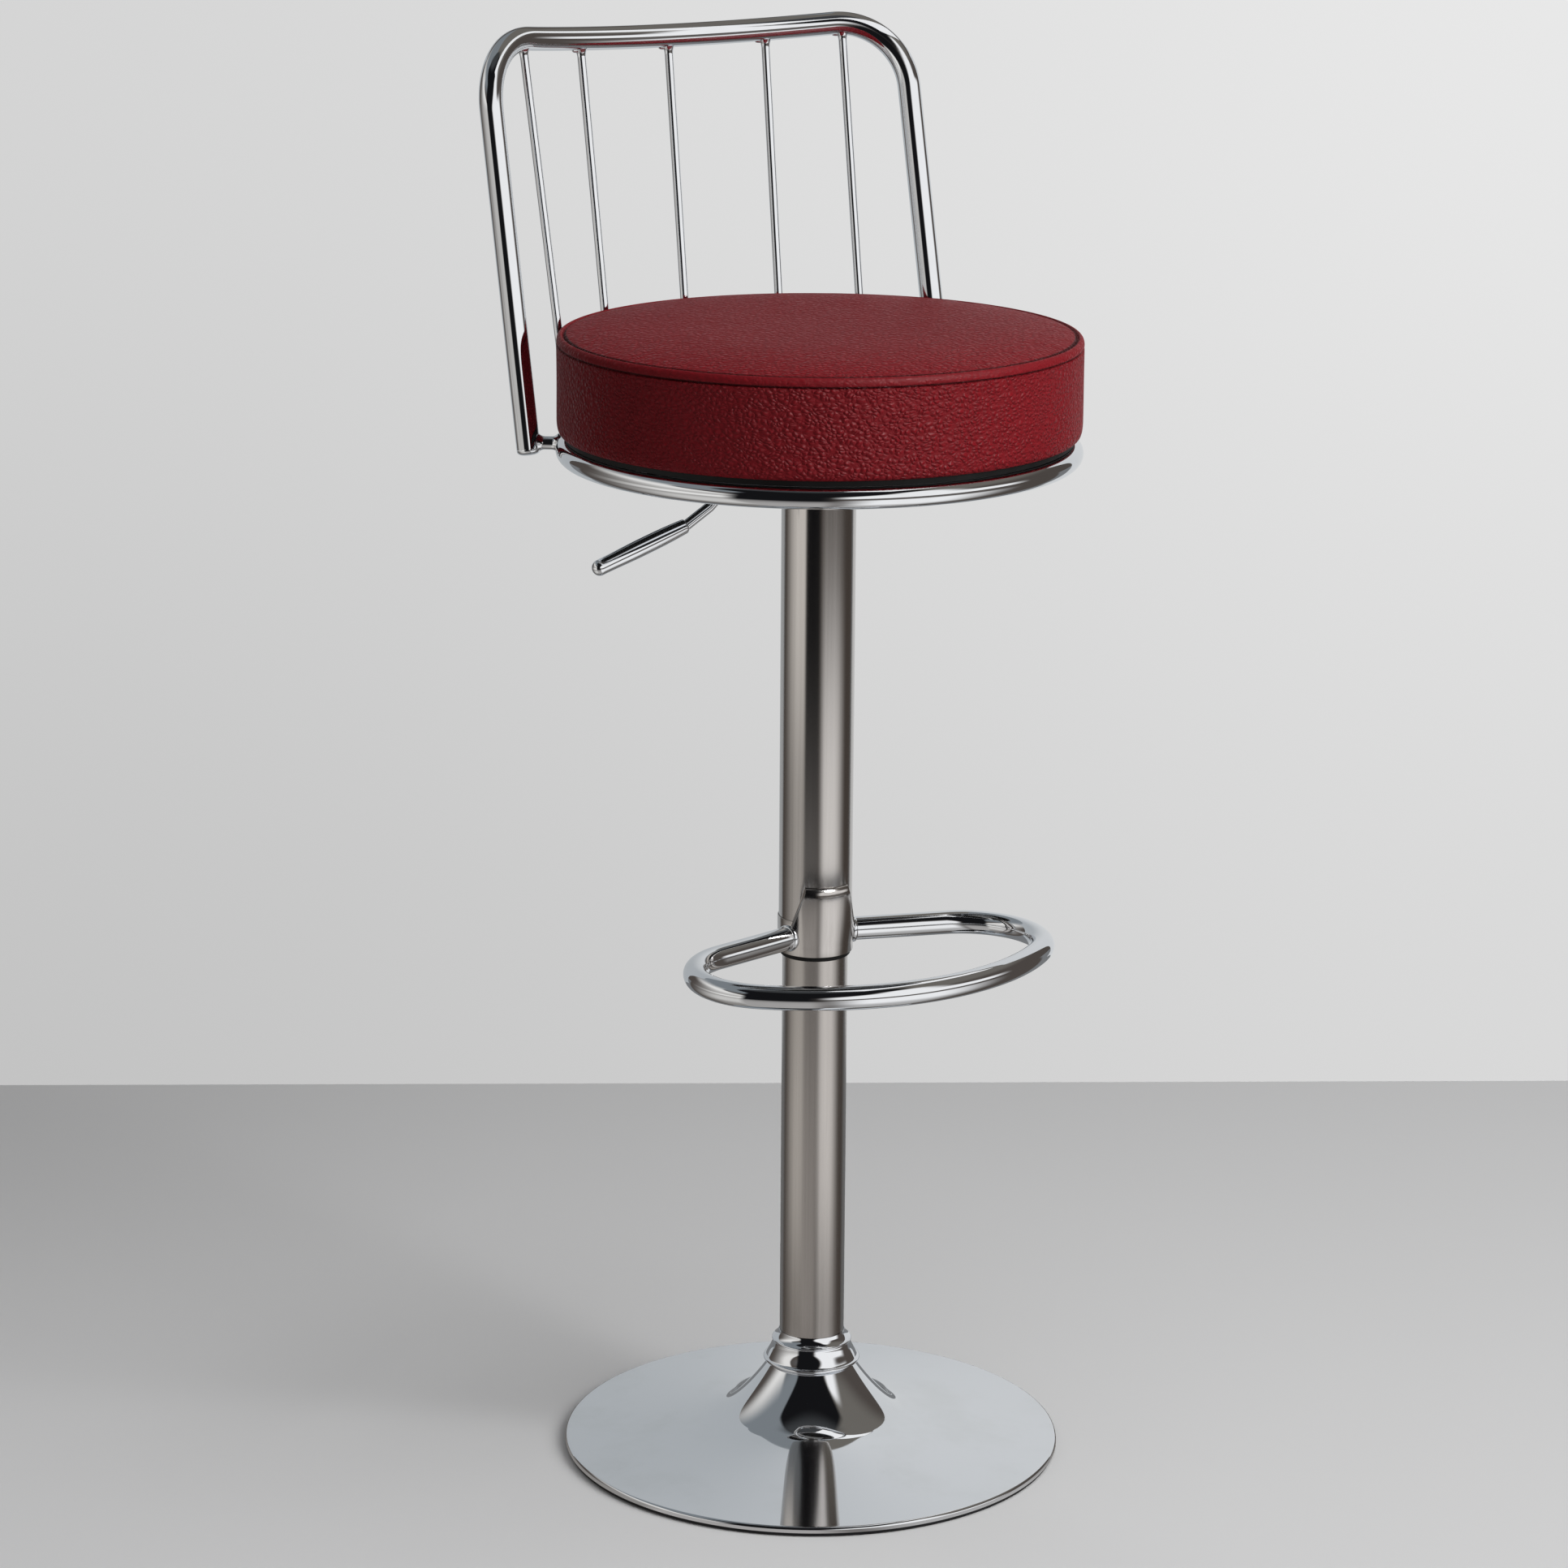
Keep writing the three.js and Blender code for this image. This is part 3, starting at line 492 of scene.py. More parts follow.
# Half an oval that bulges away from the axis
def ovalPoints(radius, wide, tall):
    turns = [math.pi * (index / 10 - 0.5) for index in range(11)]
    return [(radius + wide * math.cos(turn), tall * math.sin(turn)) for turn in turns]


# The other side of a wall whose one side is given
def offsetOutline(points, distance):
    moved = []
    for index, point in enumerate(points):
        before = points[max(index - 1, 0)]
        after = points[min(index + 1, len(points) - 1)]
        across = Vector((after[0] - before[0], after[1] - before[1])).normalized()
        moved.append((point[0] - across.y * distance, point[1] + across.x * distance))
    return moved


# Rounds the corners of a route with one bend radius
def roundRoute(corners, radius, steps=16):
    route = [corners[0]]
    for before, here, after in zip(corners, corners[1:], corners[2:]):
        back = (before - here).normalized()
        ahead = (after - here).normalized()
        half = back.angle(ahead) / 2
        start = here + back * (radius / math.tan(half))
        centre = here + (back + ahead).normalized() * (radius / math.sin(half))
        axis = back.cross(ahead).normalized()
        for index in range(steps + 1):
            turn = Matrix.Rotation((2 * half - math.pi) * index / steps, 3, axis)
            route.append(centre + turn @ (start - centre))
    return [*route, corners[-1]]


# Fills a route up with points that lie closer than a given reach
def fillRoute(route, reach):
    points = []
    for here, there in zip(route, route[1:]):
        steps = 1 + int((there - here).length / reach)
        points += [here.lerp(there, index / steps) for index in range(steps)]
    return [*points, route[-1]]


# A drop of weld on the line from its centre to a point ahead
def makeBead(name, radius, half, steps, centre, ahead):
    bead = turnOutline(name, [(0, -half), *ovalPoints(0, radius, half)[1:-1], (0, half)], steps)
    return standOn(bead, centre, ahead)


# Base
base = {
    "dishOuter": (0.150, 0.0101),
    "dishInner": (0.097, 0.0179),
    "dish": (0.072, 0.0265),
    "throat": (0.063, 0.0296),
    "flare": (0.0455, 0.0483),
    "neck": 0.0335,
    "rimTop": 0.0080,
    "rimRounding": 0.0026,
    "lipTuck": 0.0008,
    "rimLift": 0.0014,
    "wall": 0.0012,
}


def makeBase(size):
    low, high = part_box("base_shell")
    radius, foot, neckTop = high.x, low.z, high.z
    rounding = size["rimRounding"]
    rim = arcPoints((radius - rounding, size["rimTop"] - rounding), rounding, -0.15, math.pi / 2, 12)
    disc = bezierPoints(rim[-1], size["dishOuter"], size["dishInner"], size["dish"], 48)[1:]
    flare = bezierPoints(size["dish"], size["throat"], size["flare"], (size["neck"], neckTop), 56)[1:]
    foot += size["rimLift"]
    outside = [(radius - size["lipTuck"], foot), (radius, foot + size["lipTuck"]), *rim, *disc, *flare]
    inside = offsetOutline(outside, size["wall"])
    inside[0] = (inside[0][0], foot)
    inside[-1] = (inside[-1][0], neckTop)
    shell = turnOutline("baseShell", [*outside, *reversed(inside)], 192)
    finishPiece(shell, chrome, "base", ["base_shell"], 60.0)


makeBase(base)
makeTube("floorRing", "floor_ring", 160, blackRubber, "base", wall=0.007, edge=0.0008)


# Collar and column
collar = {
    "bore": 0.0253,
    "foot": 0.0345,
    "bead": 0.0013,
    "beadRise": 0.0028,
    "skirt": 0.0356,
    "conePulls": (0.0335, (0.0308, 0.080)),
    "waist": (0.0302, 0.0842),
    "lip": 0.0010,
    "lipRadius": 0.0310,
    "lipHeight": 0.0855,
    "shoulder": 0.0303,
    "shoulderPulls": ((0.0286, 0.0875), (0.0266, 0.0895)),
    "mouth": 0.0258,
}


def makeCollar(size):
    low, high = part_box("column_collar")
    beadCentre = (high.x - size["bead"], low.z + size["beadRise"])
    bead = arcPoints(beadCentre, size["bead"], -math.pi / 2, math.pi / 2, 12)
    lipCentre = (size["lipRadius"] - size["lip"], size["lipHeight"])
    lip = arcPoints(lipCentre, size["lip"], -math.pi / 2, math.pi / 2, 10)
    beadTop, lipTop = bead[-1][1], lip[-1][1]
    lowPull, highPull = size["conePulls"]
    coneFoot = (size["skirt"], beadTop + 0.0002)
    cone = bezierPoints(coneFoot, (lowPull, beadTop + 0.005), highPull, size["waist"], 14)
    shoulder = bezierPoints(
        (size["shoulder"], lipTop + 0.0001), *size["shoulderPulls"], (size["mouth"], high.z - 0.0004), 12
    )
    outline = [
        (size["bore"], low.z), (size["foot"], low.z), *bead, *cone, *lip, *shoulder,
        (size["mouth"] - 0.0002, high.z), (size["bore"], high.z),
    ]
    finishPiece(turnOutline("columnCollar", outline, 128), chrome, "base", ["column_collar"], 50.0)


guideBush = {"bore": 0.0143, "barrel": 0.0227, "head": 0.003, "edge": 0.0006}


def makeGuideBush(size):
    low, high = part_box("guide_bush")
    bore, barrel, edge = size["bore"], size["barrel"], size["edge"]
    seat = high.z - size["head"]
    bush = turnOutline("guideBush", [
        (bore, low.z), (barrel - 0.0002, low.z), (barrel, low.z + 0.0004), (barrel, seat), (high.x, seat),
        (high.x, high.z - edge), (high.x - edge, high.z), (bore + 0.0007, high.z), (bore, high.z - 0.0007),
    ], 96)
    finishPiece(bush, blackNylon, "base", ["guide_bush"])


makeCollar(collar)
makeTube("columnTube", "column_tube", 128, satinColumn, "base", wall=0.002, edge=0.0004)
makeGuideBush(guideBush)
print("stage: base and column ready")


# Outer tube and its bush
slideBush = {"bore": 0.0253, "barrel": 0.0262, "head": 0.0035, "edge": 0.0008}


def makeSlideBush(size):
    low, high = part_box("slide_bush")
    bore, barrel, edge = size["bore"], size["barrel"], size["edge"]
    seat = low.z + size["head"]
    bush = turnOutline("slideBush", [
        (bore, low.z + 0.0006), (bore + 0.0006, low.z), (high.x - edge, low.z), (high.x, low.z + edge),
        (high.x, seat), (barrel, seat), (barrel, high.z), (bore, high.z),
    ], 128)
    finishPiece(bush, blackNylon, "seat", ["slide_bush"])


makeTube("outerTube", "outer_tube", 144, satinTube, "seat", wall=0.0015, edge=0.0004)
makeSlideBush(slideBush)


# Footrest sleeve: a band round the tube, and a tapered tongue that stands up from it in front
sleeve = {
    "bore": 0.0283,
    "outer": 0.0289,
    "edge": 0.0004,
    "bandRise": 0.0137,
    "tongueFoot": 0.0275,
    "tongueHead": 0.0170,
    "tongueProud": 0.0320,
    "tongueStart": 0.006,
    "tongueEdge": 0.0009,
    "swellDrop": 0.026,
    "crestDrop": 0.0078,
    "crestProud": 0.0019,
    "tongueTurn": math.radians(-10),
}


def cutAway(piece, place, outward):
    pick(piece)
    bpy.ops.object.mode_set(mode="EDIT")
    bpy.ops.mesh.select_all(action="SELECT")
    bpy.ops.mesh.bisect(plane_co=place, plane_no=outward, use_fill=True, clear_outer=True)
    bpy.ops.object.mode_set(mode="OBJECT")


def makeSleeve(size):
    low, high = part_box("footrest_sleeve")
    loopLow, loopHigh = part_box("footrest_loop")
    middle = (loopLow.z + loopHigh.z) / 2
    bore, outer, edge, proud = size["bore"], size["outer"], size["edge"], size["tongueProud"]
    top, foot, crestFoot = middle + size["bandRise"], low.z + size["tongueStart"], high.z - size["crestDrop"]
    band = turnOutline("footrestSleeve", [
        (bore, low.z), (outer - edge, low.z), (outer - edge * 0.3, low.z + edge * 0.3), (outer, low.z + edge),
        (outer, top - edge), (outer - edge * 0.3, top - edge * 0.3), (outer - edge, top), (bore, top),
    ], 144)
    swell = bezierPoints(
        (outer - 0.0002, foot), (outer + 0.0006, middle), (proud, high.z - size["swellDrop"]),
        (proud, crestFoot), 18
    )
    crest = bezierPoints(
        swell[-1], (proud, high.z - size["crestDrop"] * 0.45), (outer + size["crestProud"], high.z - 0.0002),
        (outer - 0.0002, high.z), 14
    )
    tongue = turnOutline("tongue", [(bore, foot), *swell, *crest[1:], (bore, high.z)], 192)
    cutAway(tongue, (0, 0, 0), (0, 1, 0))
    slope = (size["tongueFoot"] - size["tongueHead"]) / (high.z - middle)
    for side in (-1, 1):
        cutAway(tongue, (side * size["tongueFoot"], 0, middle), (side, 0, slope))
    useModifier(
        tongue, "BEVEL", width=size["tongueEdge"], segments=3, limit_method="ANGLE", angle_limit=math.radians(40)
    )
    tongue.matrix_world = Matrix.Rotation(size["tongueTurn"], 4, "Z")
    applyShift(tongue)
    whole = joinPieces("footrestSleeve", [band, tongue])
    finishPiece(whole, satinTube, "seat", ["footrest_sleeve"], 40.0)
    return whole


sleevePiece = makeSleeve(sleeve)


# Footrest loop
footrest = {
    "reach": 0.173,
    "front": 0.187,
    "corner": 0.0586,
    "armAngle": math.radians(74.5),
    "armStart": 0.024,
    "weld": 0.0019,
    "weldSunk": 0.0006,
    "weldHalf": 0.003,
    "weldGap": 0.0004,
}


def footrestHalf(size):
    arm = Vector((math.cos(size["armAngle"]), math.sin(size["armAngle"])))
    inward = Vector((arm.y, -arm.x)) * size["corner"]
    frontCentre = Vector((size["reach"] - size["front"], 0))
    offset = inward - frontCentre
    along = offset.dot(arm)
    span = size["front"] - size["corner"]
    run = math.sqrt(along ** 2 - offset.length_squared + span ** 2) - along
    centre = arm * run + inward
    armEnd = math.atan2(-inward.y, -inward.x)
    frontEnd = math.atan2(centre.y, centre.x - frontCentre.x)
    corner = arcPoints(centre, size["corner"], armEnd, frontEnd, 30)
    front = arcPoints(frontCentre, size["front"], frontEnd, 0, 26)
    armFoot = arm * size["armStart"]
    armRun = [tuple(armFoot.lerp(Vector(corner[0]), share / 4)) for share in range(4)]
    return [*armRun, *corner, *front[1:]]


def makeFootrest(size):
    low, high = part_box("footrest_loop")
    height, radius = (low.z + high.z) / 2, (high.z - low.z) / 2
    right = footrestHalf(size)
    left = [(ahead, -aside) for ahead, aside in reversed(right[:-1])]
    route = [Vector((aside, -ahead, height)) for ahead, aside in [*right, *left]]
    loop = bendTube("footrestLoop", route, radius, 14)
    neck, half = radius * 0.6, size["weldHalf"]
    ridge = ovalPoints(radius - size["weldSunk"], size["weld"], size["weld"] * 1.3)
    beads = []
    for side in (-1, 1):
        arm = Vector((side * math.sin(size["armAngle"]), -math.cos(size["armAngle"]), 0))
        bead = turnOutline("weld", [(neck, -half), *ridge, (neck, half)], 64)
        foot = arm * (sleeve["outer"] + size["weldGap"]) + Vector((0, 0, height))
        beads.append(standOn(bead, foot, foot + arm))
    whole = joinPieces("footrestLoop", [loop, *beads])
    finishPiece(whole, chrome, "seat", ["footrest_loop"], 50.0)


makeFootrest(footrest)
print("stage: tubes and footrest ready")


# Lift mechanism under the seat
gasCylinder = {
    "mouth": 0.0053,
    "edge": 0.001,
    "floor": 0.010,
    "bore": 0.0122,
    "roofDrop": 0.047,
    "taperDrop": 0.037,
    "head": 0.01215,
    "pinBore": 0.0043,
    "pinDepth": 0.0194,
}


def makeGasCylinder(size):
    low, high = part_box("gas_cylinder")
    mouth, edge, bore, pinBore = size["mouth"], size["edge"], size["bore"], size["pinBore"]
    floor, roof, pinFloor = low.z + size["floor"], high.z - size["roofDrop"], high.z - size["pinDepth"]
    cylinder = turnOutline("gasCylinder", [
        (mouth, low.z), (high.x - edge, low.z), (high.x, low.z + edge), (high.x, high.z - size["taperDrop"]),
        (size["head"], high.z), (pinBore, high.z), (pinBore, pinFloor), (0, pinFloor), (0, roof), (bore, roof),
        (bore, floor), (mouth, floor),
    ], 96)
    finishPiece(cylinder, satinTube, "seat", ["gas_cylinder"])


makeTube("taperSocket", "taper_socket", 96, zincSteel, "seat", bore=0.0145, edge=0.0008)
makeTube("tubeFlange", "tube_flange", 128, zincSteel, "seat", bore=0.0186, edge=0.0008)
makeGasCylinder(gasCylinder)


# Release lever: its points are given by their reach to the left and their drop below the pivot
lever = {
    "pivot": (-0.048, 0.783),
    "rodStart": 0.004,
    "rodInGrip": 0.012,
    "bendStart": 0.063,
    "knee": (0.093, 0.028),
    "gripStart": (0.113, 0.0403),
    "tip": (0.190, 0.0666),
    "bend": 0.014,
    "rod": 0.004,
    "hub": 0.0055,
    "hubBore": 0.0028,
    "hubHalf": 0.0352,
    "grip": 0.0056,
    "gripBore": 0.0043,
    "gripBoreEnd": 0.008,
    "gripBelly": 0.0066,
    "gripTip": 0.0060,
}


def makeLever(size):
    height = size["pivot"][1]

    def atReach(reach, drop):
        return Vector((-reach, 0, height - drop))

    start, tip = atReach(*size["gripStart"]), atReach(*size["tip"])
    along = (tip - start).normalized()
    corners = [
        atReach(-size["rodStart"], 0), atReach(size["bendStart"], 0), atReach(*size["knee"]), start,
        tip - along * size["rodInGrip"],
    ]
    route = fillRoute(roundRoute(corners, size["bend"]), 0.003)
    rod = bendTube("leverRod", route, size["rod"], 12)
    hub = turnOutline("hub", ringOutline(size["hubBore"], size["hub"], -size["hubHalf"], size["hubHalf"]), 48)
    middle = Vector((size["pivot"][0], 0, height))
    standOn(hub, middle, middle + Vector((0, 1, 0)))
    finishPiece(joinPieces("leverRod", [rod, hub]), chrome, "lever", ["lever_rod"])

    length = (tip - start).length
    grip, belly, end = size["grip"], size["gripBelly"], size["gripTip"]
    inner, boreEnd = size["gripBore"], length - size["gripBoreEnd"]
    mouth = [(inner, 0.0004), (inner + 0.0003, 0), (grip - 0.0008, 0), (grip - 0.0002, 0.0006)]
    taper = bezierPoints(
        (grip, 0.0016), (grip + 0.0009, length * 0.2), (belly, length * 0.3), (belly, length * 0.5), 30
    )
    taper += bezierPoints(taper[-1], (belly, length * 0.65), (end, length * 0.75), (end, length - end), 30)[1:-1]
    dome = arcPoints((0, length - end), end, 0, math.pi / 2, 12)[:-1]
    outline = [*mouth, *taper, *dome, (0, length), (0, boreEnd), (inner, boreEnd)]
    handle = turnOutline("leverGrip", outline, 64)
    standOn(handle, start, tip)
    finishPiece(handle, chrome, "lever", ["lever_grip"], 50.0)


makeLever(lever)
print("stage: mechanism and lever ready")


# Seat ring with the welds of its stubs
seatRing = {"tube": 0.008, "stub": 0.005, "weldReach": 0.0042, "weldProud": 0.0024}


def makeSeatRing(size):
    low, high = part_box("seat_ring")
    height = (low.z + high.z) / 2
    ring = addNew(
        "seatRing", bpy.ops.mesh.primitive_torus_add, location=(0, 0, height), major_segments=288,
        minor_segments=36, major_radius=high.x - size["tube"], minor_radius=size["tube"],
    )
    finishPiece(applyShift(ring), chrome, "seat", ["seat_ring"], 60.0)


makeSeatRing(seatRing)


# Backrest: the tube is bent in a flat strip that is rolled to an arc and tilted back
back = {
    "tilt": math.radians(13.2),
    "height": 0.3028,
    "arcShare": 1.627,
    "legRadius": 0.2188,
    "legAngle": math.radians(56),
    "below": 0.0055,
    "bend": 0.055,
    "tube": 0.009,
    "plug": 0.004,
    "plugBore": 0.0062,
    "plugBoreEnd": 0.008,
    "wire": 0.00325,
    "rodFoot": 0.20005,
    "rodBelow": 0.003,
    "footAngles": [math.radians(angle) for angle in (-40.5, -22, 0, 22, 40.5)],
    "headAngles": [math.radians(angle) for angle in (-23, -13.1, 0, 13.1, 23)],
    "weld": 0.0019,
    "nugget": (0.0028, 0.0042),
    "nuggetPlace": (0.0004, 0.0012),
    "tick": (0.0017, 0.0040),
    "tickPlace": (0.0048, 0.0089),
}
ringLow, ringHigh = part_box("seat_ring")
ringHeight = (ringLow.z + ringHigh.z) / 2
ringRadius = ringHigh.x - seatRing["tube"]
backArc = back["legRadius"] * back["arcShare"]
backHalf = math.asin(back["legRadius"] * math.sin(back["legAngle"]) / backArc)


def onBack(angle, height):
    sag = backArc * (math.cos(angle) - math.cos(backHalf))
    tilt = back["tilt"]
    return Vector((
        backArc * math.sin(angle),
        back["legRadius"] * math.cos(back["legAngle"]) + sag * math.cos(tilt) + height * math.sin(tilt),
        ringHeight - sag * math.sin(tilt) + height * math.cos(tilt),
    ))


def makeBackFrame(size):
    width = backArc * backHalf
    bend = size["bend"]
    corner = arcPoints((bend - width, size["height"] - bend), bend, math.pi, math.pi / 2, 32)
    leg = [(-width, -size["below"] + (corner[0][1] + size["below"]) * index / 8) for index in range(8)]
    barHalf = width - bend
    bar = [(barHalf * (index / 20 - 1), size["height"]) for index in range(1, 40)]
    left = [*leg, *corner]
    right = [(-along, height) for along, height in reversed(left)]
    route = [onBack(along / backArc, height) for along, height in [*left, *bar, *right]]
    tube = bendTube("backrestFrame", route, size["tube"], 14)
    finishPiece(tube, chrome, "seat", ["backrest_frame"], 50.0)

    cut = -size["below"] - 0.0003
    radius, tip, bore, boreEnd = size["tube"], cut - size["plug"], size["plugBore"], size["plugBoreEnd"]
    dome = bezierPoints((0, tip), (radius * 0.62, tip), (radius, cut - size["plug"] * 0.75), (radius, cut), 14)
    for side, name in ((1, "Left"), (-1, "Right")):
        plug = turnOutline(f"legPlug{name}", [*dome, (bore, cut), (bore, boreEnd), (0, boreEnd)], 64)
        foot = onBack(side * backHalf, 0)
        standOn(plug, foot, onBack(side * backHalf, 0.1))
        finishPiece(plug, chrome, "seat", [f"leg_plug_{name.lower()}"], 50.0)

        aside = Vector((side * math.sin(size["legAngle"]), math.cos(size["legAngle"]), 0))
        root = aside * ringRadius + Vector((0, 0, ringHeight))
        start, end = seatRing["tube"], (foot - root).length - size["tube"]
        stub, proud, reach = seatRing["stub"], seatRing["weldProud"], seatRing["weldReach"]
        flareIn = bezierPoints(
            (stub + proud, start - 0.0008), (stub + proud * 0.4, start + reach * 0.25),
            (stub, start + reach * 0.5), (stub, start + reach), 8
        )
        flareOut = bezierPoints(
            (stub, end - reach), (stub, end - reach * 0.5), (stub + proud * 0.3, end - reach * 0.25),
            (stub + proud * 0.8, end + 0.0008), 8
        )
        ends = [(0, start - 0.003), (stub, start - 0.003)], [(stub, end + 0.003), (0, end + 0.003)]
        pin = turnOutline(f"stub{name}", [*ends[0], *flareIn, *flareOut, *ends[1]], 64)
        standOn(pin, root, foot)
        finishPiece(pin, chrome, "seat", [f"stub_{name.lower()}"], 60.0)


def makeRods(size):
    wire, weld = size["wire"], size["weld"]
    nuggetGap, nuggetRise = size["nuggetPlace"]
    tickAside, tickDrop = size["tickPlace"]
    for index, (footAngle, headAngle) in enumerate(zip(size["footAngles"], size["headAngles"])):
        aside = Vector((math.sin(footAngle), math.cos(footAngle), 0))
        foot = aside * size["rodFoot"] + Vector((0, 0, ringHeight - size["rodBelow"]))
        head = onBack(headAngle, size["height"])
        length = (head - foot).length - size["tube"]
        rodEnd = [(0, 0), (wire * 0.75, 0), (wire, wire * 0.3), (wire, wire * 0.45)]
        run = [(wire, length * share) for share in (0.1, 0.3, 0.5, 0.7, 0.9)] + [(wire, length - 0.0062)]
        flare = bezierPoints(
            (wire, length - 0.0055), (wire, length - 0.0022), (wire + weld * 0.4, length - 0.0008),
            (wire + weld, length + 0.0010), 8
        )
        rodTop = [(wire, length + 0.002), (0, length + 0.002)]
        rod = turnOutline(f"rod{index + 1}", [*rodEnd, *run, *flare, *rodTop], 40)
        standOn(rod, foot, head)
        # One bead of weld joins the rod to the ring, another one to the top bar
        centre = aside * (ringRadius + seatRing["tube"] + nuggetGap) + Vector((0, 0, ringHeight + nuggetRise))
        nugget = makeBead("bead", *size["nugget"], 24, centre, centre + Vector((0, 0, 1)))
        left = Vector((-math.cos(headAngle), math.sin(headAngle), 0))
        centre = head + left * tickAside - (head - foot).normalized() * tickDrop
        tick = makeBead("tick", *size["tick"], 20, centre, centre + left)
        whole = joinPieces(f"rod{index + 1}", [rod, nugget, tick])
        finishPiece(whole, chrome, "seat", [f"rod_{index + 1}"], 60.0)


makeBackFrame(back)
makeRods(back)
print("stage: backrest ready")


# Seat board
board = {"proud": 0.0015, "lowEdge": 0.0002, "highEdge": 0.0005}


def makeBoard(size):
    low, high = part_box("seat_board")
    rim, under, over = high.x + size["proud"], size["lowEdge"], size["highEdge"]
    disc = turnOutline("seatBoard", [
        (0, low.z), (rim - under, low.z), (rim, low.z + under),
        (rim, high.z - over), (rim - over, high.z), (0, high.z),
    ], 160)
    finishPiece(disc, blackBoard, "seat", ["seat_board"], 40.0)


makeBoard(board)


# Cushion: each row of its outline has a radius, a height and a panel, and only panel 0 doesn't swell
cushion = {
    "hem": 0.1888,
    "lip": 0.1924,
    "side": 0.1955,
    "seamLow": (0.1953, 0.8705),
    "seamHigh": (0.1908, 0.8768),
    "foot": 0.0012,
    "crown": 0.0022,
    "shoulder": 0.0034,
    "groove": 0.0021,
    "grooveHalf": 0.0010,
    "topGroove": 0.0019,
    "floor": 0.8126,
    "sideSwell": 0.0010,
    "foldSwell": 0.0010,
    "topSwell": 0.0024,
    "pressure": 4.0,
    "frames": 20,
    "uneven": 0.00035,
    "waves": 22,
}


def cushionRows(size, foot):
    hem, side, floor = size["hem"], size["side"], size["floor"]
    rows = [(hem * share, floor, 0) for share in (0, 0.25, 0.5, 0.75, 0.9, 1)]
    rows += [(hem, foot + 0.006, 0), (hem, foot + 0.0012, 0), (hem + 0.0006, foot + 0.0003, 0)]
    lip = bezierPoints(
        (size["lip"] - 0.0012, foot), (size["lip"] + 0.0018, foot + 0.0002), (side - 0.0004, foot + 0.003),
        (side, foot + 0.008), 8
    )
    rows += [(*point, 0) for point in lip]
    low, high = Vector(size["seamLow"]), Vector(size["seamHigh"])
    half, depth = size["grooveHalf"], size["topGroove"]
    sideFoot, sideTop = lip[-1][1], low.y - half - 0.001
    rows += [(side, sideFoot + (sideTop - sideFoot) * index / 22, 1) for index in range(1, 23)]
    groove = low + Vector((-0.75, -0.66)) * size["groove"]
    rows += [(low.x + 0.0001, low.y - half, 0), (*groove, 0), (low.x + 0.0001, low.y + half, 0)]
    fold = bezierPoints(
        (low.x + 0.0002, low.y + 0.0010), (low.x + 0.0004, low.y + 0.0045), (high.x + 0.0030, high.y + 0.0006),
        (high.x + 0.0010, high.y + 0.0004), 8
    )
    rows += [(*point, 2) for point in fold]
    rows += [(high.x + 0.0004, high.y - depth * 0.3, 0), (high.x - 0.0002, high.y - depth, 0),
             (high.x - 0.0010, high.y - depth * 0.9, 0), (high.x - 0.0018, high.y + 0.0002, 0)]
    # The top falls off in a soft shoulder before its seam
    for index in range(1, 35):
        share = (index / 35) ** 1.6
        rise = size["crown"] * (1 - (1 - share) ** 2) + size["shoulder"] * (1 - (1 - share) ** 18)
        rows.append(((high.x - 0.0018) * (1 - share), high.y + 0.0004 + rise, 3))
    rows.append((0, high.y + 0.0004 + size["crown"] + size["shoulder"], 3))
    return rows


def inflate(piece, size, panels):
    start = [vertex.co.copy() for vertex in piece.data.vertices]
    held = piece.vertex_groups.new(name="held")
    held.add([index for index, panel in enumerate(panels) if panel == 0], 1.0, "REPLACE")
    cloth = pick(piece).modifiers.new("cloth", "CLOTH")
    cloth.settings.vertex_group_mass = "held"
    cloth.settings.use_pressure = True
    cloth.settings.uniform_pressure_force = size["pressure"]
    cloth.settings.quality = 6
    cloth.settings.mass = 0.4
    cloth.settings.tension_stiffness = 40
    cloth.settings.compression_stiffness = 40
    cloth.settings.bending_stiffness = 4
    cloth.settings.effector_weights.gravity = 0
    cloth.point_cache.frame_start, cloth.point_cache.frame_end = 1, size["frames"]
    for step in range(1, size["frames"] + 1):
        bpy.context.scene.frame_set(step)
    bpy.ops.object.modifier_apply(modifier=cloth.name)
    bpy.context.scene.frame_set(1)
    moved = [vertex.co - place for vertex, place in zip(piece.data.vertices, start)]
    # Each panel swells as the cloth says, up to its own height
    for panel, most in ((1, size["sideSwell"]), (2, size["foldSwell"]), (3, size["topSwell"])):
        reach = max(shift.length for shift, mine in zip(moved, panels) if mine == panel)
        print("swell", panel, round(reach * 1000, 2), "mm")
        for vertex, place, shift, mine in zip(piece.data.vertices, start, moved, panels):
            if mine == panel:
                vertex.co = place + shift * (most / reach if reach > most else 1)
            elif mine == 0:
                vertex.co = place
    piece.vertex_groups.clear()


def makeCushion(size):
    low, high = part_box("cushion_cover")
    rows = cushionRows(size, low.z + size["foot"])
    seat = turnOutline("cushion", [row[:2] for row in rows], 144)
    panels = []
    for vertex in seat.data.vertices:
        radius = math.hypot(vertex.co.x, vertex.co.y)
        panels.append(min(rows, key=lambda row: (row[0] - radius) ** 2 + (row[1] - vertex.co.z) ** 2)[2])
    inflate(seat, size, panels)
    # The hide is never quite even
    for vertex, panel in zip(seat.data.vertices, panels):
        if panel in (1, 3):
            outward = Vector((vertex.co.x, vertex.co.y, 0)).normalized() if panel == 1 else Vector((0, 0, 1))
            vertex.co += outward * noise.noise(vertex.co * size["waves"]) * size["uneven"]
    useModifier(seat, "SUBSURF", levels=1, render_levels=1)
    finishPiece(seat, redLeather, "seat", ["cushion_cover", "cushion_foam"], 75.0)
    return seat


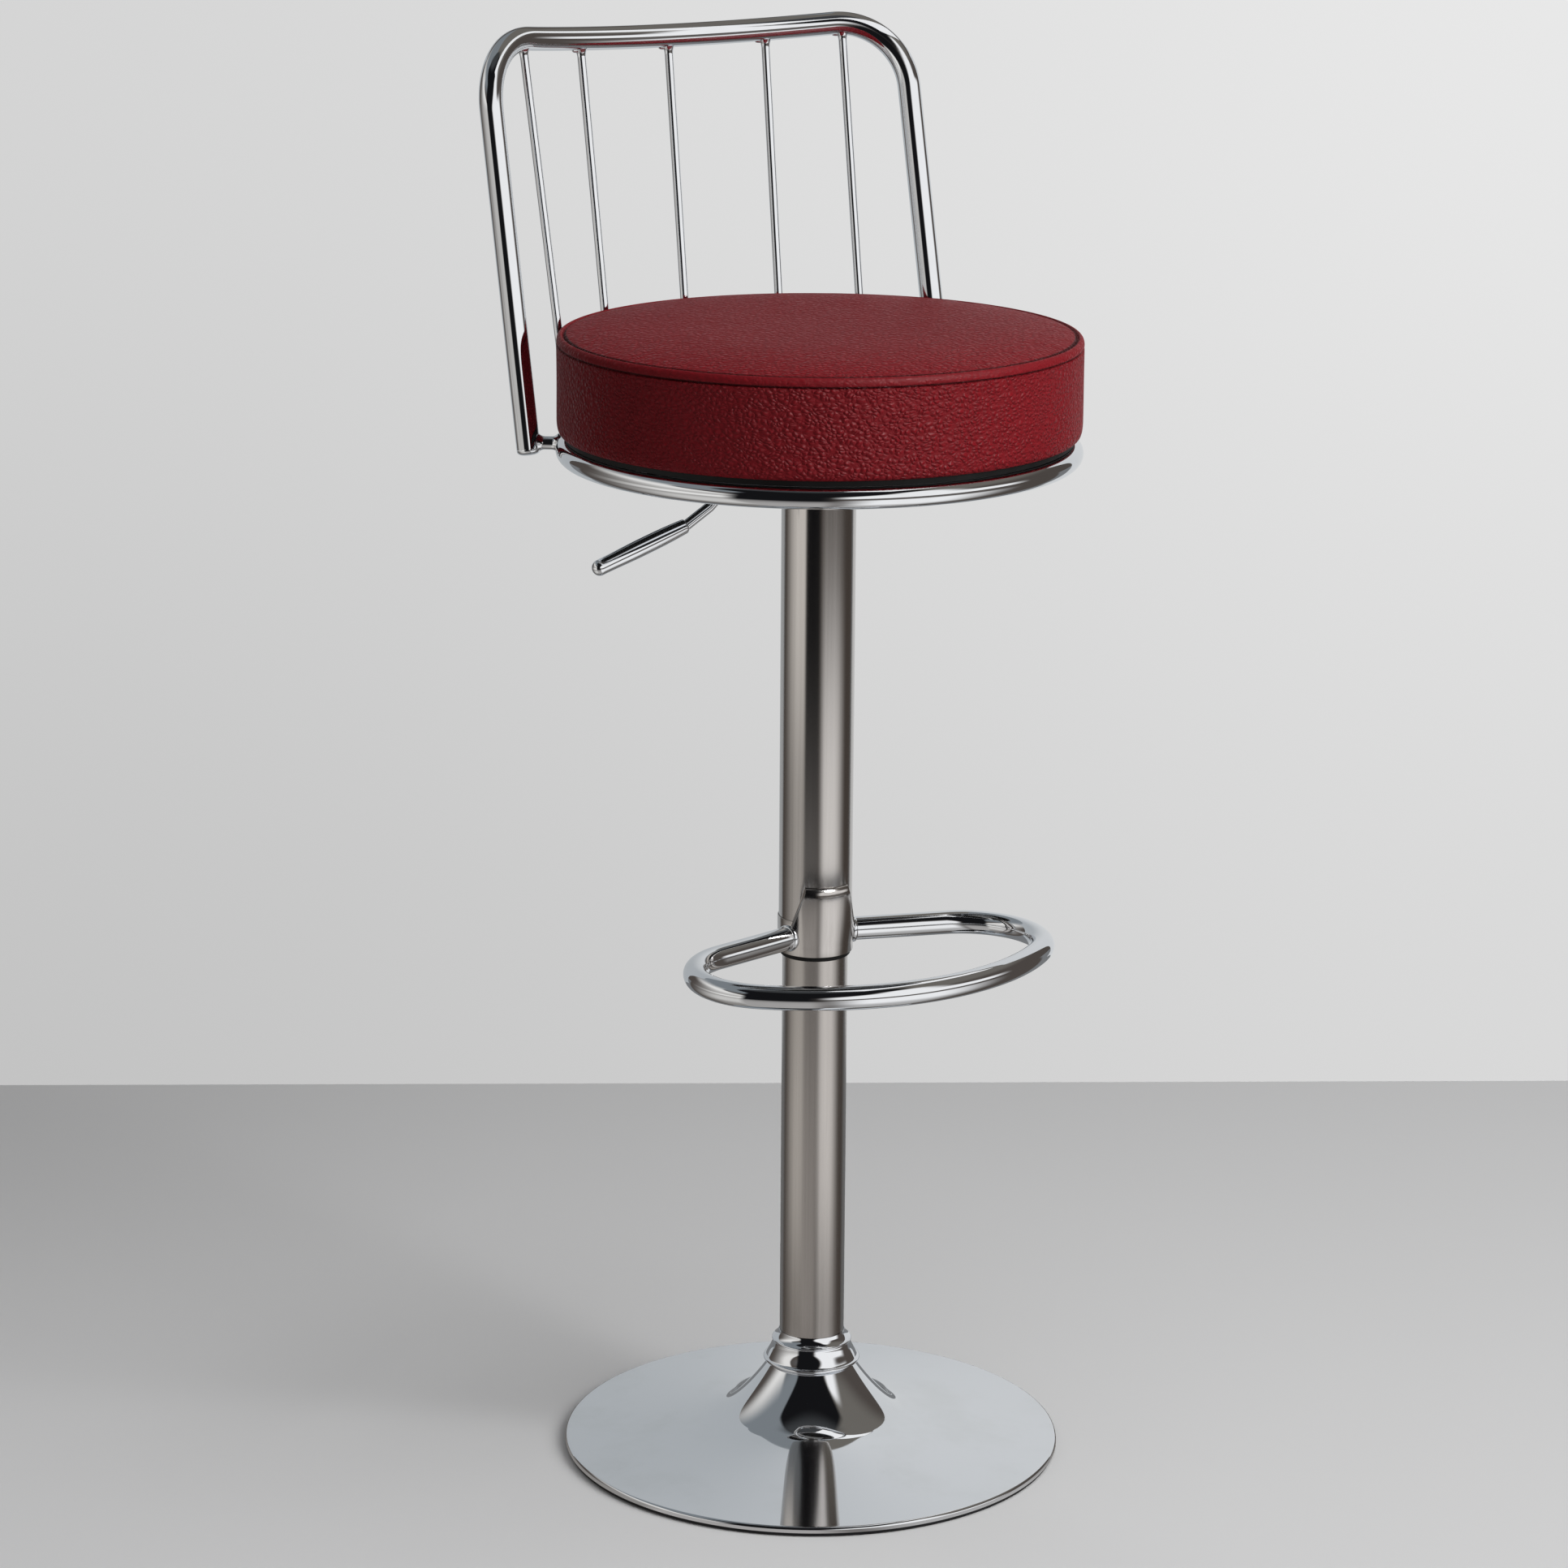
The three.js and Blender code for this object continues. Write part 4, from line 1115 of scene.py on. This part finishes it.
seatCushion = makeCushion(cushion)
print("stage: seat ready")


# Finishes of the carried-over solids
fasteners = [f"{name}_{index}" for name in ("flange_screw", "seat_bolt", "tee_nut") for index in range(1, 5)]
carried = [
    (castIron, ["base_weight"]),
    (blackNylon, ["piston"]),
    (chrome, ["piston_rod", "cross_bar_front", "cross_bar_rear"]),
    (zincSteel, ["column_foot_plate", "thrust_bearing", "retaining_clip", "release_pin", *fasteners]),
    (zincSteel, ["mechanism_housing", "mechanism_plate", "lever_pivot_pin"]),
]
for material, names in carried:
    for name in names:
        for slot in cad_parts[name].material_slots:
            slot.material = material


# Studio
studio = {
    "wallAway": 0.89,
    "wallTurn": math.radians(2.2),
    "wallTop": 1.9,
    "wallTone": (0.81, 0.81, 0.81),
    "wallShade": (0.54, 0.54, 0.54),
    # The floor's paint is graded as painted light and shade: darker far off, paler near the stool
    "floorFar": ((0.67, 0.67, 0.67), (0.73, 0.73, 0.73)),
    "floorNear": ((0.84, 0.84, 0.84), (0.72, 0.72, 0.72)),
    "floorPale": (0.72, 0.72, 0.72),
    "sweepAside": (-1.08, 0.97),
    "sweepTop": 1.27,
    "sweepHorn": 0.28,
    "sweepMirror": (0.690, 0.700, 0.705),
    "sweepMirrorShade": (0.450, 0.470, 0.484),
    "ceilingMirror": (0.050, 0.052, 0.054),
    "upperLeft": (0.215, 0.235, 0.250),
    "upperRight": (0.165, 0.152, 0.135),
    "sideMirror": (0.085, 0.072, 0.064),
    "darkMirror": (0.008, 0.008, 0.009),
    "panelMirror": (1.0, 0.99, 0.98),
    "warmMirror": (0.92, 0.895, 0.855),
    "floorMirror": (0.42, 0.40, 0.385),
    "floorBehind": (0.20, 0.205, 0.21),
    "room": (0.13, 0.13, 0.133),
    "softboxPlace": (0.59, 0.38, 1.9),
    "softboxTurn": math.radians(-19),
    "softboxSize": (0.36, 1.75),
}


def studioPlace(mix, here):
    aside = mix.vector("DOT_PRODUCT", {0: here, 1: tuple(studioAside)}, 1)
    near = mix.vector("DOT_PRODUCT", {0: here, 1: tuple(-studioAway)}, 1)
    return aside, near


def turnFrom(mix, aside, near):
    return mix.add("ShaderNodeMath", {"operation": "ARCTAN2"}, {0: aside, 1: near})


# Rises from 0 to 1 between two angles and falls again between two more
def window(mix, value, opens, closes):
    return mix.fadeTurn(value, *opens) * mix.fadeTurn(value, *closes, 1, 0)


# Two light cards with a dark middle between them, by their direction from the stool
def cards(mix, size, turns, dark, left, right, side):
    darkLeft, darkRight, cardTurn = turns
    middle = mix.fadeTurn(darkLeft, -44, -36) * mix.fadeTurn(darkRight, 0, 14, 1, 0)
    tone = mix.blend(middle, side, dark)
    tone = mix.blend(window(mix, cardTurn, (-124, -60), (-43, -34)) * left, tone, size["warmMirror"])
    return mix.blend(right, tone, size["panelMirror"])


def makeWorld(size):
    world = bpy.data.worlds.new("studioWorld")
    bpy.context.scene.world = world
    mix = Recipe(world)
    here = mix.add("ShaderNodeTexCoord")
    aside, near = studioPlace(mix, here)
    turn = turnFrom(mix, aside, near)
    rise = mix.add("ShaderNodeMath", {"operation": "ARCSINE"}, {0: mix.height(here)})
    # The dark middle widens upwards, and the light cards move out with it
    widening = mix.fadeTurn(rise, 42, 58, 0, 0.55)
    darkLeft = turn + widening
    darkRight = turn - mix.fadeTurn(rise, 15, 45, 0, 0.56) - widening
    cardTurn = turn + mix.fadeTurn(rise, 15, 35, 0, 0.65)
    rightTurn = turn + mix.fadeTurn(rise, 12, 24, 0, 0.50)
    right = mix.fadeTurn(darkRight, 4, 16) * mix.fadeTurn(rightTurn, 88, 104, 1, 0)
    right = right * window(mix, rise, (0.5, 2.5), (46, 52))
    left = (0.55 + mix.fadeTurn(rise, 4, 22, 0, 0.4)) * mix.fadeTurn(rise, 28, 46, 1, 0)
    upper = mix.blend(mix.fadeTurn(turn, -30, 30), size["upperLeft"], size["upperRight"])
    side = mix.blend(mix.fadeTurn(rise, 24, 42), size["sideMirror"], upper)
    tone = cards(mix, size, (darkLeft, darkRight, cardTurn), size["darkMirror"], left, right, side)
    over = mix.fadeTurn(rise, 60, 72) * window(mix, turn, (-100, -60), (60, 100))
    seen = mix.blend(over, tone, size["ceilingMirror"])
    tone = mix.blend(mix.rayFrom(3), size["room"], seen)
    tone = mix.blend(mix.rayFrom(0), tone, size["wallTone"])
    glow = mix.add("ShaderNodeBackground", {}, {0: tone})
    mix.add("ShaderNodeOutputWorld", {}, {0: glow})


def makeFloor(size):
    floor = addNew("floor", bpy.ops.mesh.primitive_circle_add, vertices=128, radius=14, fill_type="NGON")
    material, mix = newRecipe("studioFloor")
    here = mix.place()
    aside, near = studioPlace(mix, here)
    # The floor's paint is darker far off and paler near the stool, most on its left: painted light and shade
    toRight = mix.fade(aside, -0.75, 0.75)
    far, close = (mix.blend(toRight, *size[key]) for key in ("floorFar", "floorNear"))
    paint = mix.add("ShaderNodeBsdfDiffuse", {}, {0: mix.blend(mix.fade(near, -0.95, -0.05), far, close)})
    # For glossy rays the floor glows instead: painted light cards round a painted dark middle, which the metal
    # reflects
    turn = turnFrom(mix, aside, near)
    distance = mix.vector("LENGTH", {0: here}, 1)
    dark = mix.blend(mix.fade(distance, 0.5, 2.6), size["floorMirror"], size["darkMirror"])
    left = mix.fade(distance, 0.3, 0.65, 0.25, 0.70) + mix.fade(distance, 0.9, 1.9, 0.0, -0.28)
    left = left + mix.fade(distance, 2.0, 2.9, 0.0, 0.55)
    right = mix.fade(distance, 0.3, 0.7, 0.42, 1.0) * mix.fade(distance, 2.2, 3.5, 1.0, 0.06)
    right = right * window(mix, turn, (4, 28), (56, 100))
    tone = cards(mix, size, (turn, turn, turn), dark, left, right, size["sideMirror"])
    behind = window(mix, turn, (-127, -123), (123, 127))
    mirror = mix.add("ShaderNodeEmission", {}, {0: mix.blend(behind, size["floorBehind"], tone)})
    both = mix.add("ShaderNodeMixShader", {}, {0: mix.rayFrom(3), 1: paint, 2: mirror})
    # Far from the lamps the floor stays pale for the camera
    pale = mix.add("ShaderNodeEmission", {}, {0: (*size["floorPale"], 1)})
    amount = mix.rayFrom(0) * mix.fade(distance, 1.6, 4.5)
    both = mix.add("ShaderNodeMixShader", {}, {0: amount, 1: both, 2: pale})
    mix.add("ShaderNodeOutputMaterial", {}, {0: both})
    floor.data.materials.append(material)


# A sheet that glows by itself on its front and is clear from behind
def makeSheet(name, place, size, tone, cut=None):
    sheet = addNew(name, bpy.ops.mesh.primitive_plane_add, size=1)
    sheet.matrix_world = Matrix.Rotation(studioTurn, 4, "Z") @ place @ Matrix.Diagonal((size[0], size[1], 1, 1))
    applyShift(sheet)
    sheet.visible_shadow = False
    sheet.visible_diffuse = False
    material, mix = newRecipe(name)
    paint = mix.add("ShaderNodeEmission", {}, {0: tone(mix)})
    clear = mix.add("ShaderNodeBsdfTransparent")
    behind = mix.add("ShaderNodeNewGeometry", output=6)
    if cut:
        behind = mix.add("ShaderNodeMath", {"operation": "MAXIMUM"}, {0: behind, 1: cut(mix)})
    both = mix.add("ShaderNodeMixShader", {}, {0: behind, 1: paint, 2: clear})
    mix.add("ShaderNodeOutputMaterial", {}, {0: both})
    sheet.data.materials.append(material)
    return sheet


def makeWall(size):
    def wallTone(mix):
        here = mix.place()
        aside, near = studioPlace(mix, here)
        # The wall glows by itself, with painted shade towards its left and its foot
        amount = mix.fade(aside, -0.95, 0.95) * 0.58 + mix.fade(mix.height(here), -0.1, 1.15) * 0.46
        return mix.blend(amount, size["wallShade"], size["wallTone"])

    def sweepTone(mix):
        aside, near = studioPlace(mix, mix.place())
        return mix.blend(mix.fade(aside, -0.36, 0.36), size["sweepMirrorShade"], size["sweepMirror"])

    upright = Matrix.Rotation(math.pi / 2, 4, "X")
    middle = Matrix.Translation((0, size["wallAway"], size["wallTop"] / 2))
    place = middle @ Matrix.Rotation(size["wallTurn"], 4, "Z") @ upright
    makeSheet("wall", place, (16, size["wallTop"]), wallTone).visible_glossy = False
    left, right = size["sweepAside"]

    # The sweep's top edge sags in the middle
    def sweepCut(mix):
        here = mix.place()
        aside, near = studioPlace(mix, here)
        sagging = mix.height(here) - aside * aside * size["sweepHorn"]
        return mix.fade(sagging, size["sweepTop"] - 0.02, size["sweepTop"] + 0.02)

    top = size["sweepTop"] + size["sweepHorn"] * left * left
    place = Matrix.Translation(((left + right) / 2, size["wallAway"], top / 2)) @ upright
    makeSheet("sweep", place, (right - left, top), sweepTone, sweepCut).visible_camera = False
    turned = Matrix.Translation(size["softboxPlace"]) @ Matrix.Rotation(size["softboxTurn"], 4, "Z")
    place = turned @ Matrix.Rotation(math.pi, 4, "X")
    makeSheet("softbox", place, size["softboxSize"], lambda mix: (*size["panelMirror"], 1)).visible_camera = False


# Each lamp stands aside, away and up in the studio, and looks at the stool's middle
lamps = {
    "key": {"place": (2.6, -1.5, 2.3), "size": 2.3, "power": 100},
    "top": {"place": (0.6, -0.3, 3.0), "size": 1.8, "power": 20},
    "back": {"place": (-1.6, 2.2, 2.0), "size": 1.4, "power": 6},
    "sheen": {"place": (2.1, -2.1, 3.0), "size": 1.5, "power": 170},
}
stoolMiddle = Vector((0, 0, 0.6))


# The sheen lamp is seen by the leather and by the tongue's crest alone, as their highlights
def makeLamps(size, shiny):
    for name, lamp in size.items():
        light = addNew(f"{name}Lamp", bpy.ops.object.light_add, type="AREA", location=inStudio(*lamp["place"]))
        light.data.size = lamp["size"]
        light.data.energy = lamp["power"]
        light.rotation_euler = (stoolMiddle - light.location).to_track_quat("-Z", "Y").to_euler()
        light.visible_glossy = name == "sheen"
        light.visible_camera = False
        if name == "sheen":
            light.visible_diffuse = False
            light.light_linking.receiver_collection = bpy.data.collections.new("sheenOnly")
            for piece in shiny:
                light.light_linking.receiver_collection.objects.link(piece)


makeWorld(studio)
makeFloor(studio)
makeWall(studio)
makeLamps(lamps, (seatCushion, sleevePiece))
print("stage: studio ready")
